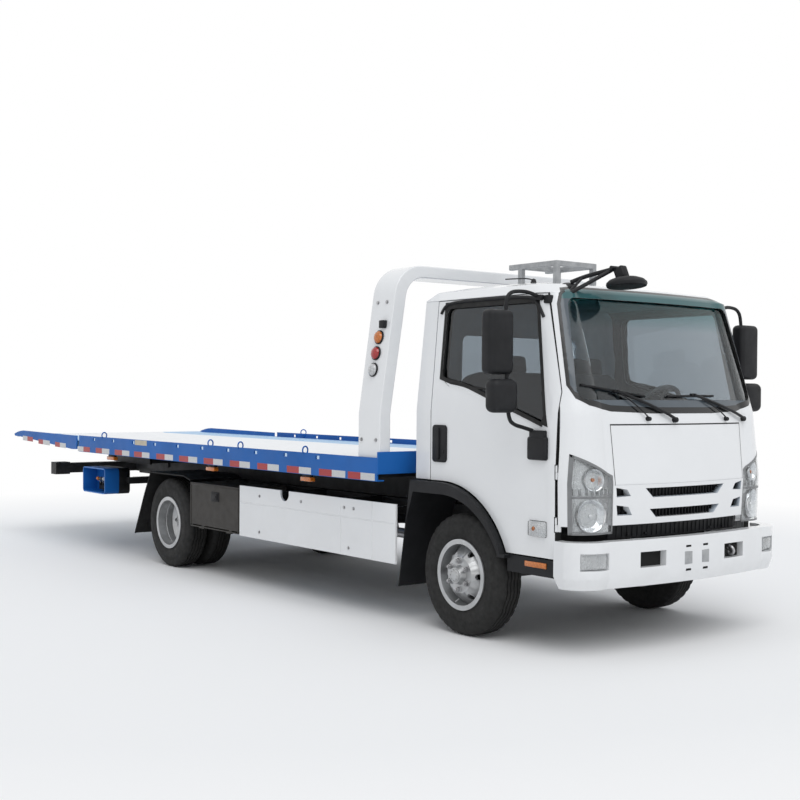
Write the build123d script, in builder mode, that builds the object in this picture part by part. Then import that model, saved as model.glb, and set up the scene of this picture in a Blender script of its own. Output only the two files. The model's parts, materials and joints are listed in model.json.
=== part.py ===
"""Slide-bed recovery truck with a wheel lift, as separate solids in millimetres.

+X is forward, +Y is the truck's left and +Z is up. The origin lies on the ground under the middle of the
truck's overall length. Pieces of the right side have negative Y, and the left side mirrors them.
"""
import os
from math import hypot

from build123d import *

# Overall layout
wheelbase = 3815
front_overhang = 1100
rear_overhang = 3285
front_axle_x = (wheelbase + rear_overhang - front_overhang) / 2
rear_axle_x = front_axle_x - wheelbase
nose_x = front_axle_x + front_overhang
tail_x = rear_axle_x - rear_overhang
cab_half_width = 900
bed_half_width = 1115
run_gap = 0.3
move_gap = 5

# Wheels and tyres
tyre_r = 380
tyre_width = 196
tread_width = 136
bead_r = 205
rim_flange_r = 222
rim_flange_width = 9
rim_wall = 13
bead_width = 166
rim_clear = 5
front_wheel_y = cab_half_width - 70
twin_centre_y = 768
twin_spacing = 236
hub_r = 62
spindle_r = 30
stub_r = 40
disc_thickness = 15
hand_hole_count = 6
hand_hole_r = 19

# Chassis frame
rail_half_width = 375
rail_flange = 65
rail_wall = 8
rail_bottom = 560
rail_height = 180
rail_top = rail_bottom + rail_height
frame_rear_x = rear_axle_x - 1145
frame_front_x = front_axle_x + 900
kingpin_y = front_wheel_y - 140
kingpin_r = 20
spring_width = 60
spring_span = 1100
spring_thickness = 46
spring_leaf = 14

# Cab
cab_rear_x = front_axle_x - 484
cab_wall = 50
cab_floor_z = 760
cab_seat_floor_z = 953
floor_thickness = 50
cab_roof_z = 2195
roof_joint_z = 2105
door_bottom_z = 560
door_front_x = front_axle_x + 800
door_rear_x = front_axle_x - 330
door_belt_z = 1524
pillar_rake = 160
arch_r = 652
arch_centre_x = front_axle_x - 207
hinge_r = 8
hinge_pin_r = 4
glass_thickness = 6
glass_set_back = 14

# Bed
bed_front_x = front_axle_x - 613
bed_split_x = front_axle_x - 5405
deck_top = 1040
deck_thickness = 8
rail_lip_top = 1085
rail_base = 930
bed_rail_wall = 12
bed_rail_depth = 60
tilt_rail_y = 340
tilt_rail_width = 80
tilt_bottom = rail_top + 8
tilt_top = 898
tilt_front_x = front_axle_x - 850
tilt_rear_x = rear_axle_x - 1635
tilt_pivot_x = rear_axle_x - 1185
tilt_pivot_z = 800
tilt_pin_r = 25
tilt_angle = 11.5
tilt_eye_x = front_axle_x - 3200
tilt_eye_z = 830
tilt_eye_r = 22
barrel_foot_x = tilt_eye_x + 1800
barrel_foot_z = 650
barrel_foot_r = 20
barrel_y = 215

# Wheel lift
lift_pivot_x = rear_axle_x - 1515
lift_z = 715
lift_pin_r = 20
head_length = 150
head_cap = 12
head_bore_r = 24
lift_box_width = 160
lift_box_height = 130
lift_box_wall = 14
crossbar_x = rear_axle_x - 2595
crossbar_half = 960
crossbar_size = 100

os.makedirs("parts", exist_ok=True)


def wheel_plane(axle_x):
    """Plane through an axle's middle, with its own x along +Y and its own y up."""
    return Plane(origin=(axle_x, 0, tyre_r), x_dir=(0, 1, 0), z_dir=(1, 0, 0))


def turned(axle_x, profile):
    """Solid of revolution about an axle, from a closed profile of (y, radius) points."""
    with BuildPart() as built:
        with BuildSketch(wheel_plane(axle_x)):
            Polygon(*profile, align=None)
        revolve(axis=Axis((axle_x, 0, tyre_r), (0, 1, 0)))
    return built.part


def block(x_range, y_range, z_range):
    """Plain block between two corners, given as three ranges."""
    size = [high - low for low, high in (x_range, y_range, z_range)]
    middle = [(high + low) / 2 for low, high in (x_range, y_range, z_range)]
    with BuildPart() as built:
        with Locations(tuple(middle)):
            Box(*size)
    return built.part


def rod(start, end, radius):
    """Round bar from one point to another."""
    start, end = Vector(*start), Vector(*end)
    with BuildPart() as built:
        with BuildSketch(Plane(origin=start, z_dir=end - start)):
            Circle(radius)
        extrude(amount=(end - start).length)
    return built.part


def prism(plane, points, low, high, radius=0):
    """Solid of a closed outline on a plane, from one offset along its normal to another."""
    with BuildPart() as built:
        with BuildSketch(plane.offset(low)) as outline:
            Polygon(*points, align=None)
            if radius:
                fillet(outline.vertices(), radius)
        extrude(amount=high - low)
    return built.part


# Tyres: one section turned about each axle
def tyre_section(centre_y):
    """Half widths against radius, as (half width, radius) pairs mirrored about the tyre's middle."""
    outer = (
        (bead_width / 2, bead_r),
        (tyre_width / 2, bead_r + 95),
        (tyre_width / 2 - 10, tyre_r - 22),
        (tread_width / 2, tyre_r),
    )
    right = [(centre_y + half, radius) for half, radius in outer]
    left = [(centre_y - half, radius) for half, radius in reversed(outer)]
    return right + left


def rim_barrel(centre_y, web):
    """Rim section with both flanges, and the points of its disc between the two barrel ends."""
    seat = bead_width / 2 + rim_clear
    flange = seat + rim_flange_width
    outer_r = bead_r - run_gap
    return [
        (centre_y - flange, rim_flange_r),
        (centre_y - seat, rim_flange_r),
        (centre_y - seat, outer_r),
        (centre_y + seat, outer_r),
        (centre_y + seat, rim_flange_r),
        (centre_y + flange, rim_flange_r),
        (centre_y + flange, outer_r - rim_wall),
        *web,
        (centre_y - flange, outer_r - rim_wall),
    ]


front_disc_out = 60
front_cap_out = 98
front_hub_in = 40
web_r = bead_r - run_gap - rim_wall
bolt_ring_r = 112

with BuildPart() as front_left_tyre:
    add(turned(front_axle_x, tyre_section(front_wheel_y)))

with BuildPart() as front_left_rim:
    front_web = [
        (front_wheel_y + 12, web_r),
        (front_wheel_y + front_disc_out, bolt_ring_r),
        (front_wheel_y + front_disc_out, hub_r),
        (front_wheel_y + front_cap_out, hub_r - 14),
        (front_wheel_y + front_cap_out, 0),
        (front_wheel_y + 36, 0),
        (front_wheel_y + 36, spindle_r + run_gap),
        (front_wheel_y - front_hub_in, spindle_r + run_gap),
        (front_wheel_y - front_hub_in, hub_r),
        (front_wheel_y + front_disc_out - disc_thickness, hub_r),
        (front_wheel_y + front_disc_out - disc_thickness, bolt_ring_r - 6),
        (front_wheel_y + 12 - disc_thickness - 4, web_r),
    ]
    add(turned(front_axle_x, rim_barrel(front_wheel_y, front_web)))
    with BuildSketch(Plane(origin=(front_axle_x, front_wheel_y, tyre_r), x_dir=(1, 0, 0), z_dir=(0, 1, 0))):
        with PolarLocations((web_r + bolt_ring_r) / 2, hand_hole_count):
            Circle(hand_hole_r)
    extrude(amount=front_disc_out + 20, both=True, mode=Mode.SUBTRACT)

with BuildPart() as rear_left_tyres:
    for offset in (-twin_spacing / 2, twin_spacing / 2):
        add(turned(rear_axle_x, tyre_section(twin_centre_y + offset)))

rear_hub_out = 96
rear_hub_in = 100
rear_hub_r = 78
with BuildPart() as rear_left_rims:
    for side in (1, -1):
        rear_web = [
            (twin_centre_y + side * 76, web_r),
            (twin_centre_y + side * disc_thickness, bolt_ring_r - 6),
            (twin_centre_y + side * disc_thickness, rear_hub_r - 10),
            (twin_centre_y, rear_hub_r - 10),
            (twin_centre_y, bolt_ring_r),
            (twin_centre_y + side * 56, web_r),
        ]
        if side < 0:
            rear_web.reverse()
        add(turned(rear_axle_x, rim_barrel(twin_centre_y + side * twin_spacing / 2, rear_web)))
    hub_profile = [
        (twin_centre_y - rear_hub_in, stub_r + run_gap),
        (twin_centre_y - rear_hub_in, rear_hub_r),
        (twin_centre_y + rear_hub_out, rear_hub_r),
        (twin_centre_y + rear_hub_out, 0),
        (twin_centre_y + rear_hub_out - 30, 0),
        (twin_centre_y + rear_hub_out - 30, stub_r + run_gap),
    ]
    add(turned(rear_axle_x, hub_profile))
    with BuildSketch(Plane(origin=(rear_axle_x, twin_centre_y, tyre_r), x_dir=(1, 0, 0), z_dir=(0, 1, 0))):
        with PolarLocations((web_r + bolt_ring_r) / 2, hand_hole_count):
            Circle(hand_hole_r)
    extrude(amount=twin_spacing / 2, both=True, mode=Mode.SUBTRACT)

with BuildPart() as front_right_tyre:
    mirror(front_left_tyre.part, about=Plane.XZ)
with BuildPart() as front_right_rim:
    mirror(front_left_rim.part, about=Plane.XZ)
with BuildPart() as rear_right_tyres:
    mirror(rear_left_tyres.part, about=Plane.XZ)
with BuildPart() as rear_right_rims:
    mirror(rear_left_rims.part, about=Plane.XZ)

# Axles: a forged front beam with kingpin bosses, and a rear tube with its differential
beam_height = 90
beam_width = 84
boss_r = 44
boss_half_height = 95
spring_seat_z = tyre_r + 62
with BuildPart() as front_axle:
    beam_y = (-kingpin_y, kingpin_y)
    beam_z = (tyre_r - beam_height / 2, tyre_r + beam_height / 2)
    add(block((front_axle_x - beam_width / 2, front_axle_x + beam_width / 2), beam_y, beam_z))
    for side in (1, -1):
        seat_y = side * (rail_half_width - rail_flange / 2)
        seat_range = (seat_y - spring_width / 2, seat_y + spring_width / 2)
        add(block((front_axle_x - 70, front_axle_x + 70), seat_range, (tyre_r, spring_seat_z)))
        with BuildSketch(Plane.XY.offset(tyre_r - boss_half_height)):
            with Locations((front_axle_x, side * kingpin_y)):
                Circle(boss_r)
        extrude(amount=2 * boss_half_height)
        with BuildSketch(Plane.XY.offset(tyre_r - boss_half_height)):
            with Locations((front_axle_x, side * kingpin_y)):
                Circle(kingpin_r + run_gap)
        extrude(amount=2 * boss_half_height, mode=Mode.SUBTRACT)

fork_plate = 30
fork_half_width = 42
fork_out = 50
fork_clear = 1
with BuildPart() as left_knuckle:
    fork_x = (front_axle_x - fork_half_width, front_axle_x + fork_half_width)
    fork_y = (kingpin_y - fork_half_width, kingpin_y + fork_out + 24)
    top_z = tyre_r + boss_half_height + fork_clear
    bottom_z = tyre_r - boss_half_height - fork_clear
    add(block(fork_x, fork_y, (top_z, top_z + fork_plate)))
    add(block(fork_x, fork_y, (bottom_z - fork_plate, bottom_z)))
    add(block(fork_x, (kingpin_y + fork_out, fork_y[1]), (bottom_z, top_z)))
    with BuildSketch(Plane.XY.offset(bottom_z)):
        with Locations((front_axle_x, kingpin_y)):
            Circle(kingpin_r)
    extrude(amount=top_z - bottom_z)
    spindle_end = front_wheel_y + 36 - run_gap
    add(rod((front_axle_x, fork_y[1], tyre_r), (front_axle_x, spindle_end, tyre_r), spindle_r))
    add(rod((front_axle_x, fork_y[1] - 12, tyre_r), (front_axle_x, fork_y[1], tyre_r), web_r - 25))
with BuildPart() as right_knuckle:
    mirror(left_knuckle.part, about=Plane.XZ)

axle_tube_r = 58
housing_r = 150
with BuildPart() as rear_axle:
    tube_end = twin_centre_y - rear_hub_in - 2
    stub_end = twin_centre_y + rear_hub_out - 30 - run_gap
    add(rod((rear_axle_x, -tube_end, tyre_r), (rear_axle_x, tube_end, tyre_r), axle_tube_r))
    add(rod((rear_axle_x, -stub_end, tyre_r), (rear_axle_x, stub_end, tyre_r), stub_r))
    with Locations((rear_axle_x, 0, tyre_r)):
        Sphere(housing_r)
    add(rod((rear_axle_x, 0, tyre_r), (rear_axle_x + 270, 0, tyre_r + 20), 62))
    for side in (1, -1):
        seat_y = side * (rail_half_width - rail_flange / 2)
        seat_range = (seat_y - spring_width / 2, seat_y + spring_width / 2)
        add(block((rear_axle_x - 70, rear_axle_x + 70), seat_range, (tyre_r, spring_seat_z)))
        flange_y = (side * (tube_end - 14), side * tube_end)
        add(rod((rear_axle_x, flange_y[0], tyre_r), (rear_axle_x, flange_y[1], tyre_r), web_r - 25))

# Leaf springs: bowed packs from the frame's underside to the axle seats
with BuildPart() as leaf_springs:
    for axle_x in (front_axle_x, rear_axle_x):
        spring_y = rail_half_width - rail_flange / 2
        with BuildSketch(Plane.XZ.offset(-spring_y - spring_width / 2)) as pack:
            with BuildLine():
                ends = (axle_x - spring_span / 2, axle_x + spring_span / 2)
                ThreePointArc(
                    (ends[0], rail_bottom), (axle_x, spring_seat_z + spring_thickness), (ends[1], rail_bottom)
                )
                Line((ends[1], rail_bottom), (ends[1], rail_bottom - spring_leaf))
                upper_z = rail_bottom - spring_leaf
                ThreePointArc((ends[1], upper_z), (axle_x, spring_seat_z), (ends[0], upper_z))
                Line((ends[0], rail_bottom - spring_leaf), (ends[0], rail_bottom))
            make_face()
        extrude(amount=spring_width)
    mirror(about=Plane.XZ)

# Ladder frame with cab posts, arms for guards and boxes, and the tail beam that carries the bed's pivot
cross_members = (  # middle x, bottom z, top z
    (frame_front_x - 40, rail_bottom, rail_top),
    (front_axle_x - 1250, rail_bottom + 95, rail_top),
    (front_axle_x - 2500, rail_bottom + 20, rail_top - 60),
    (rear_axle_x + 560, rail_bottom + 60, rail_top - 20),
    (rear_axle_x - 560, rail_bottom + 20, rail_top - 20),
    (frame_rear_x + 40, rail_bottom, rail_top),
)
arm_z = (rail_top - 50, rail_top)
guard_y = bed_half_width - 115
guard_wall = 16
box_inner_y = rail_half_width + 190
guard_front_x = front_axle_x - 570
box_front_x = front_axle_x - 2585
box_rear_x = rear_axle_x + 428
guard_bottom = 386
guard_top = 780
mudguard_z = 800
arms = (  # middle x, how far out it reaches
    (guard_front_x - 220, guard_y - guard_wall),
    (guard_front_x - 1000, guard_y - guard_wall),
    (box_front_x + 260, guard_y - guard_wall),
    ((box_front_x + box_rear_x) / 2, box_inner_y),
)
arm_width = 50
tail_beam_y = guard_y - 165
tail_beam_z = (640, 700)
pivot_lug_y = (248, 290)
with BuildPart() as chassis_frame:
    web_y = rail_half_width - rail_wall
    flange_y = rail_half_width - rail_flange
    channel = (
        (rail_half_width, rail_bottom),
        (rail_half_width, rail_top),
        (flange_y, rail_top),
        (flange_y, rail_top - rail_wall),
        (web_y, rail_top - rail_wall),
        (web_y, rail_bottom + rail_wall),
        (flange_y, rail_bottom + rail_wall),
        (flange_y, rail_bottom),
    )
    add(prism(Plane.YZ, channel, frame_rear_x, frame_front_x))
    for arm_x, reach in arms:
        add(block((arm_x - arm_width / 2, arm_x + arm_width / 2), (web_y, reach), arm_z))
    for post_x, post_top in (
        (cab_rear_x + 60, cab_seat_floor_z),
        (front_axle_x + 480, cab_floor_z),
        (frame_front_x - 90, cab_floor_z),
    ):
        post_y = (rail_half_width - rail_flange, rail_half_width)
        add(block((post_x - 35, post_x + 35), post_y, (rail_top, post_top)))
    for strut_x in (rear_axle_x + 250, rear_axle_x - 250):
        strut = (strut_x - 20, strut_x + 20)
        add(block(strut, (web_y, 543), arm_z))
        add(block(strut, (518, 543), (arm_z[0], mudguard_z)))
    add(block((frame_rear_x, frame_rear_x + 60), (web_y, tail_beam_y), tail_beam_z))
    lug_x = (tilt_pivot_x - 55, frame_rear_x + 70)
    add(block(lug_x, pivot_lug_y, (rail_bottom + 40, tilt_pivot_z + 50)))
    add(block((frame_rear_x, frame_rear_x + 70), (pivot_lug_y[0], web_y), (rail_bottom + 40, rail_top - 30)))
    mirror(about=Plane.XZ)
    for cross_x, low_z, high_z in cross_members:
        add(block((cross_x - 30, cross_x + 30), (-web_y, web_y), (low_z, high_z)))
    add(rod((barrel_foot_x, -web_y, barrel_foot_z), (barrel_foot_x, web_y, barrel_foot_z), barrel_foot_r))
    pin_half = tilt_rail_y + tilt_rail_width / 2 + 14
    add(rod((tilt_pivot_x, -pin_half, tilt_pivot_z), (tilt_pivot_x, pin_half, tilt_pivot_z), tilt_pin_r))

# Engine, gearbox and propeller shaft as one plain mass between the rails
engine_half_width = 250
with BuildPart() as drive_line:
    add(block((front_axle_x - 520, front_axle_x + 270), (-engine_half_width, engine_half_width), (450, 925)))
    add(block((front_axle_x - 1120, front_axle_x - 520), (-150, 150), (500, 735)))
    mount_y = rail_half_width - rail_wall
    add(block((front_axle_x - 60, front_axle_x + 40), (-mount_y, mount_y), (rail_bottom + 60, rail_top - 40)))
    add(rod((front_axle_x - 1120, 0, 590), (rear_axle_x + 270.3, 0, tyre_r + 20), 45))

with BuildPart() as fuel_tank:
    add(block((front_axle_x - 2200, front_axle_x - 1300), (rail_half_width, guard_y - 170), (420, 680)))
    fillet(fuel_tank.edges().filter_by(Axis.X), 40)

with BuildPart() as silencer:
    silencer_y = -560
    add(rod((front_axle_x - 2150, silencer_y, 520), (front_axle_x - 1250, silencer_y, 520), 115))
    add(rod((front_axle_x - 1250, silencer_y, 520), (front_axle_x - 640, silencer_y, 520), 35))
    add(rod((front_axle_x - 2450, silencer_y, 520), (front_axle_x - 2150, silencer_y, 520), 35))
    for hang_x in (front_axle_x - 2000, front_axle_x - 1400):
        add(block((hang_x - 20, hang_x + 20), (silencer_y, -rail_half_width), (590, 640)))

# Side guards: white panels with a round notch in the top edge and pressed lines
guard_notch_x = box_front_x + 660
guard_notch_r = 58
press_depth = 3
press_width = 8
guard_presses = (  # x range and z range of each pressed line
    ((box_front_x + 14, guard_front_x - 14), (646, 654)),
    ((guard_front_x - 625 - press_width, guard_front_x - 625), (guard_bottom + 4, 722)),
    ((guard_front_x - 256 - press_width, guard_front_x - 256), (guard_bottom + 4, guard_top - 4)),
)
with BuildPart() as side_guards:
    add(block((box_front_x + 6, guard_front_x), (guard_y - guard_wall, guard_y), (guard_bottom, guard_top)))
    notch = (guard_notch_x - guard_notch_r, guard_notch_x + guard_notch_r)
    notch_y = (guard_y - guard_wall - 1, guard_y + 1)
    add(block(notch, notch_y, (guard_top - 20, guard_top + 1)), mode=Mode.SUBTRACT)
    notch_ends = [(guard_notch_x, y, guard_top - 20) for y in notch_y]
    add(rod(notch_ends[0], notch_ends[1], guard_notch_r), mode=Mode.SUBTRACT)
    for press_x, press_z in guard_presses:
        add(block(press_x, (guard_y - press_depth, guard_y + 1), press_z), mode=Mode.SUBTRACT)
    mirror(about=Plane.XZ)

# Tool boxes: hollow, open at the outer side, with a drop-down lid on two hinges
box_wall = 12
box_bottom = 388
box_top = 757
lid_wall = 14
lid_inner_y = guard_y - lid_wall
box_outer_y = lid_inner_y - move_gap
lid_hinge_z = box_bottom + 6
lid_hinge_y = lid_inner_y + lid_wall / 2
lid_bottom = lid_hinge_z + 18
knuckle_length = 40
hinge_xs = (box_rear_x + 160, box_front_x - 200)
with BuildPart() as tool_boxes:
    add(block((box_rear_x, box_front_x), (box_inner_y, box_outer_y), (box_bottom, box_top)))
    add(
        block(
            (box_rear_x + box_wall, box_front_x - box_wall),
            (box_inner_y + box_wall, box_outer_y + 1),
            (box_bottom + box_wall, box_top - box_wall),
        ),
        mode=Mode.SUBTRACT,
    )
    for hinge_x in hinge_xs:
        knuckle = (hinge_x, hinge_x + knuckle_length)
        add(block(knuckle, (box_outer_y - 20, lid_hinge_y), (lid_hinge_z - 6, lid_hinge_z + 4)))
        add(rod((knuckle[0], lid_hinge_y, lid_hinge_z), (knuckle[1], lid_hinge_y, lid_hinge_z), 11))
        add(
            rod((knuckle[0], lid_hinge_y, lid_hinge_z), (knuckle[1], lid_hinge_y, lid_hinge_z), 5 + run_gap),
            mode=Mode.SUBTRACT,
        )
    mirror(about=Plane.XZ)

with BuildPart() as left_box_lid:
    lid_x = (box_rear_x, box_front_x)
    add(block(lid_x, (lid_inner_y, guard_y), (lid_bottom, box_top)))
    for hinge_x in hinge_xs:
        leaf = (hinge_x + knuckle_length + 0.5, hinge_x + 2 * knuckle_length)
        add(rod((hinge_x, lid_hinge_y, lid_hinge_z), (leaf[1], lid_hinge_y, lid_hinge_z), 5))
        add(rod((leaf[0], lid_hinge_y, lid_hinge_z), (leaf[1], lid_hinge_y, lid_hinge_z), 11))
        add(block(leaf, (lid_inner_y + 1, guard_y - 1), (lid_hinge_z, lid_bottom)))
with BuildPart() as right_box_lid:
    mirror(left_box_lid.part, about=Plane.XZ)

# Rear mudguards: bent plates over the twin tyres with a sloping flap behind
mud_wall = 6
mud_line = (
    (rear_axle_x + 412, mudguard_z - 190),
    (rear_axle_x + 300, mudguard_z),
    (rear_axle_x - 300, mudguard_z),
    (rear_axle_x - 420, mudguard_z - 200),
    (rear_axle_x - 610, 235),
)
with BuildPart() as rear_mudguards:
    upper = [(x, z + mud_wall) for x, z in mud_line]
    upper[0] = (mud_line[0][0] + mud_wall, mud_line[0][1])
    upper[-1] = (mud_line[-1][0] - mud_wall, mud_line[-1][1])
    add(prism(Plane.XZ, list(mud_line) + upper[::-1], 515, guard_y))
    mirror(about=Plane.XZ)

# Control boxes at the tail: open at the outer side
control_x = (frame_rear_x - 500, frame_rear_x)
control_y = (guard_y - 200, guard_y + 50)
control_z = (545, 785)
control_wall = 10
control_corner = 38
control_inner_corner = 17


def control_form(inset, low_y, high_y, corner):
    """Rounded block of the left control box, its four sides moved inwards by the inset."""
    (rear_x, front_x), (low_z, high_z) = control_x, control_z
    outline = (
        (rear_x + inset, low_z + inset),
        (front_x - inset, low_z + inset),
        (front_x - inset, high_z - inset),
        (rear_x + inset, high_z - inset),
    )
    return prism(Plane.XZ, outline, -high_y, -low_y, corner)


with BuildPart() as control_boxes:
    add(control_form(0, *control_y, control_corner))
    inside_y = (control_y[0] + control_wall, control_y[1] + 1)
    add(control_form(control_wall, *inside_y, control_inner_corner), mode=Mode.SUBTRACT)
    mirror(about=Plane.XZ)

with BuildPart() as rear_lamps:
    add(block((frame_rear_x - 40, frame_rear_x), (guard_y - 520, guard_y - 240), tail_beam_z))
    fillet(rear_lamps.edges().filter_by(Axis.X), 12)
    mirror(about=Plane.XZ)

# Cab form: a few plan outlines, one above the other, joined by ruled sides
shoulder_inset = 260
cab_sections = (  # height, rear inset, side inset, x of corner start and middle, its inset, x of shoulder and nose
    (door_bottom_z - 20, 0, 0, 720, 898, 58, 950, 1000),
    (1000, 0, 0, 720, 912, 55, 968, 1030),
    (1400, 0, 0, 690, 868, 62, 925, 990),
    (2110, 20, 62, 560, 660, 106, 704, 752),
    (2165, 74, 120, 460, 565, 162, 608, 656),
    (cab_roof_z, 244, 260, 180, 330, 300, 390, 440),
)


def cab_form(inset):
    """Cab volume from the sill to the roof, with its skin moved inwards by the inset."""
    turn = inset * 0.7
    with BuildPart() as built:
        for height, rear_in, side_in, start, middle, middle_in, shoulder, nose in cab_sections:
            lowered = inset if height > roof_joint_z else 0
            rear_x = cab_rear_x + rear_in + inset
            half = cab_half_width - side_in - inset
            shoulder_y = min(cab_half_width - shoulder_inset, half - 60)
            corner_x = front_axle_x + start
            bend_x, bend_y = front_axle_x + middle - turn, cab_half_width - middle_in - turn
            shoulder_x = front_axle_x + shoulder - inset
            tip_x = front_axle_x + nose - inset
            with BuildSketch(Plane.XY.offset(height - lowered)):
                with BuildLine():
                    Line((rear_x, half), (corner_x, half))
                    ThreePointArc((corner_x, half), (bend_x, bend_y), (shoulder_x, shoulder_y))
                    ThreePointArc((shoulder_x, shoulder_y), (tip_x, 0), (shoulder_x, -shoulder_y))
                    ThreePointArc((shoulder_x, -shoulder_y), (bend_x, -bend_y), (corner_x, -half))
                    Line((corner_x, -half), (rear_x, -half))
                    Line((rear_x, -half), (rear_x, half))
                make_face()
        loft(ruled=True)
    return built.part


cab_outer = cab_form(0)
cab_inner = cab_form(cab_wall)
cab_lining = cab_form(cab_wall + run_gap)
glass_outer = cab_form(glass_set_back)
glass_inner = cab_form(glass_set_back + glass_thickness)
with BuildPart() as cab_skin:
    add(cab_outer)
    add(cab_inner, mode=Mode.SUBTRACT)
with BuildPart() as glass_skin:
    add(glass_outer)
    add(glass_inner, mode=Mode.SUBTRACT)

# Outlines of the cab's panels, as (x, z) on the side and (y, z) on the front
pillar_top_x = door_front_x - pillar_rake
arch_centre_z = cab_seat_floor_z - arch_r
door_top_z = roof_joint_z - move_gap
door_window = (
    (front_axle_x - 244, 1594),
    (front_axle_x - 240, 2050),
    (front_axle_x + 578, 2050),
    (front_axle_x + 713, 1325),
)
screen_low_y = cab_half_width - 100
screen_high_y = cab_half_width - 172
screen_outline = (
    (-screen_low_y, 1478), (screen_low_y, 1478), (screen_high_y, 2078), (-screen_high_y, 2078)
)
hood_half = cab_half_width - 308
lamp_inner_y = hood_half + move_gap
lamp_outline = (
    (cab_half_width + 60, 705),
    (cab_half_width + 60, 1185),
    (cab_half_width - 20, 1178),
    (lamp_inner_y + 8, 1042),
    (lamp_inner_y, 705),
)
hood_outline = ((-hood_half, 985), (hood_half, 985), (hood_half + 8, 1338), (-hood_half - 8, 1338))
lamp_rear_x = front_axle_x + 872
grille_half = hood_half - 10
grille_z = (668, 982)
intake_top = 752
grille_slots = (  # outline of the left half or the left slot, as (y, z)
    ((-1, 906), (300, 906), (363, 962), (-1, 962)),
    ((-1, 787), (268, 787), (322, 838), (-1, 838)),
    ((472, 920), (575, 915), (582, 971), (500, 958)),
    ((457, 808), (566, 808), (575, 869), (485, 856)),
)


def arch_point(radius, height):
    """Point of a circle about the arch's centre, ahead of it at the given height."""
    return (arch_centre_x + (radius**2 - (height - arch_centre_z) ** 2) ** 0.5, height)


with BuildPart() as door_shape:
    with BuildSketch(Plane.XZ.offset(cab_half_width / 2)):
        with BuildLine():
            arch_top = (arch_centre_x, cab_seat_floor_z)
            arch_foot = arch_point(arch_r, door_bottom_z)
            Line((door_rear_x, cab_seat_floor_z), arch_top)
            RadiusArc(arch_top, arch_foot, arch_r)
            Line(arch_foot, (door_front_x, door_bottom_z))
            Line((door_front_x, door_bottom_z), (door_front_x, door_belt_z))
            Line((door_front_x, door_belt_z), (pillar_top_x, door_top_z))
            Line((pillar_top_x, door_top_z), (door_rear_x, door_top_z))
            Line((door_rear_x, door_top_z), (door_rear_x, cab_seat_floor_z))
        make_face()
    extrude(amount=cab_half_width)

hinge_x = door_front_x + move_gap / 2
hinge_y = cab_half_width - 10
hinge_zs = (760, 1060)
hinge_half = 40
hinge_pocket_r = hinge_r + move_gap
door_sweep_r = 18
leaf_wall = 10
window_y = (cab_half_width - 200, cab_half_width + 100)


def hinge_post(low, high, radius):
    """Upright round bar on the right door's hinge line."""
    return rod((hinge_x, -hinge_y, low), (hinge_x, -hinge_y, high), radius)


with BuildPart() as right_door:
    add(cab_skin.part)
    add(door_shape.part, mode=Mode.INTERSECT)
    add(prism(Plane.XZ, door_window, *window_y, 45), mode=Mode.SUBTRACT)
    for hinge_z in hinge_zs:
        pocket = (hinge_z - hinge_half - move_gap, hinge_z + hinge_half + move_gap)
        add(hinge_post(*pocket, hinge_pocket_r), mode=Mode.SUBTRACT)
        add(hinge_post(hinge_z - hinge_half, hinge_z + hinge_half, hinge_pin_r))
        add(hinge_post(hinge_z + 0.5, hinge_z + hinge_half, hinge_r))
        leaf_y = (-hinge_y, -hinge_y + leaf_wall)
        add(block((hinge_x - 30, hinge_x), leaf_y, (hinge_z + 0.5, hinge_z + hinge_half)))

with BuildPart() as right_door_glass:
    add(glass_skin.part)
    add(prism(Plane.XZ, door_window, *window_y, 45), mode=Mode.INTERSECT)

with BuildPart() as left_door:
    mirror(right_door.part, about=Plane.XZ)
with BuildPart() as left_door_glass:
    mirror(right_door_glass.part, about=Plane.XZ)

with BuildPart() as front_region:
    front_shape = (
        (door_front_x + move_gap, intake_top),
        (door_front_x + move_gap, door_belt_z),
        (pillar_top_x + move_gap + 4, roof_joint_z),
        (nose_x + 200, roof_joint_z),
        (nose_x + 200, intake_top),
    )
    add(prism(Plane.XZ, front_shape, -1500, 1500))

with BuildPart() as lamp_region:
    add(prism(Plane.YZ, lamp_outline, lamp_rear_x, nose_x + 200))
    mirror(about=Plane.XZ)

with BuildPart() as cab_front:
    add(cab_skin.part)
    add(front_region.part, mode=Mode.INTERSECT)
    add(prism(Plane.YZ, screen_outline, front_axle_x + 300, nose_x + 200, 60), mode=Mode.SUBTRACT)
    add(lamp_region.part, mode=Mode.SUBTRACT)
    add(prism(Plane.YZ, hood_outline, front_axle_x + 700, nose_x + 200), mode=Mode.SUBTRACT)
    for slot in grille_slots:
        for side in (1, -1):
            outline = [(side * y, z) for y, z in slot]
            add(prism(Plane.YZ, outline, front_axle_x + 700, nose_x + 200), mode=Mode.SUBTRACT)
    for side in (1, -1):
        with Locations((hinge_x, side * hinge_y, (door_bottom_z + door_belt_z) / 2)):
            Cylinder(door_sweep_r, door_belt_z - door_bottom_z + 80, mode=Mode.SUBTRACT)
        for hinge_z in hinge_zs:
            low_half = hinge_z - hinge_half / 2
            with Locations((hinge_x, side * hinge_y, hinge_z)):
                Cylinder(hinge_pocket_r, 2 * (hinge_half + move_gap), mode=Mode.SUBTRACT)
            with Locations((hinge_x, side * hinge_y, low_half - 0.25)):
                Cylinder(hinge_r, hinge_half - 0.5)
            with Locations((hinge_x + 15, side * (hinge_y - leaf_wall / 2), low_half - 0.25)):
                Box(30, leaf_wall, hinge_half - 0.5)
            with Locations((hinge_x, side * hinge_y, low_half)):
                Cylinder(hinge_pin_r + run_gap, hinge_half + 2, mode=Mode.SUBTRACT)

with BuildPart() as hood_panel:
    add(cab_skin.part)
    add(prism(Plane.YZ, hood_outline, front_axle_x + 700, nose_x + 200), mode=Mode.INTERSECT)

with BuildPart() as headlamps:
    add(cab_skin.part)
    add(lamp_region.part, mode=Mode.INTERSECT)

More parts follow.
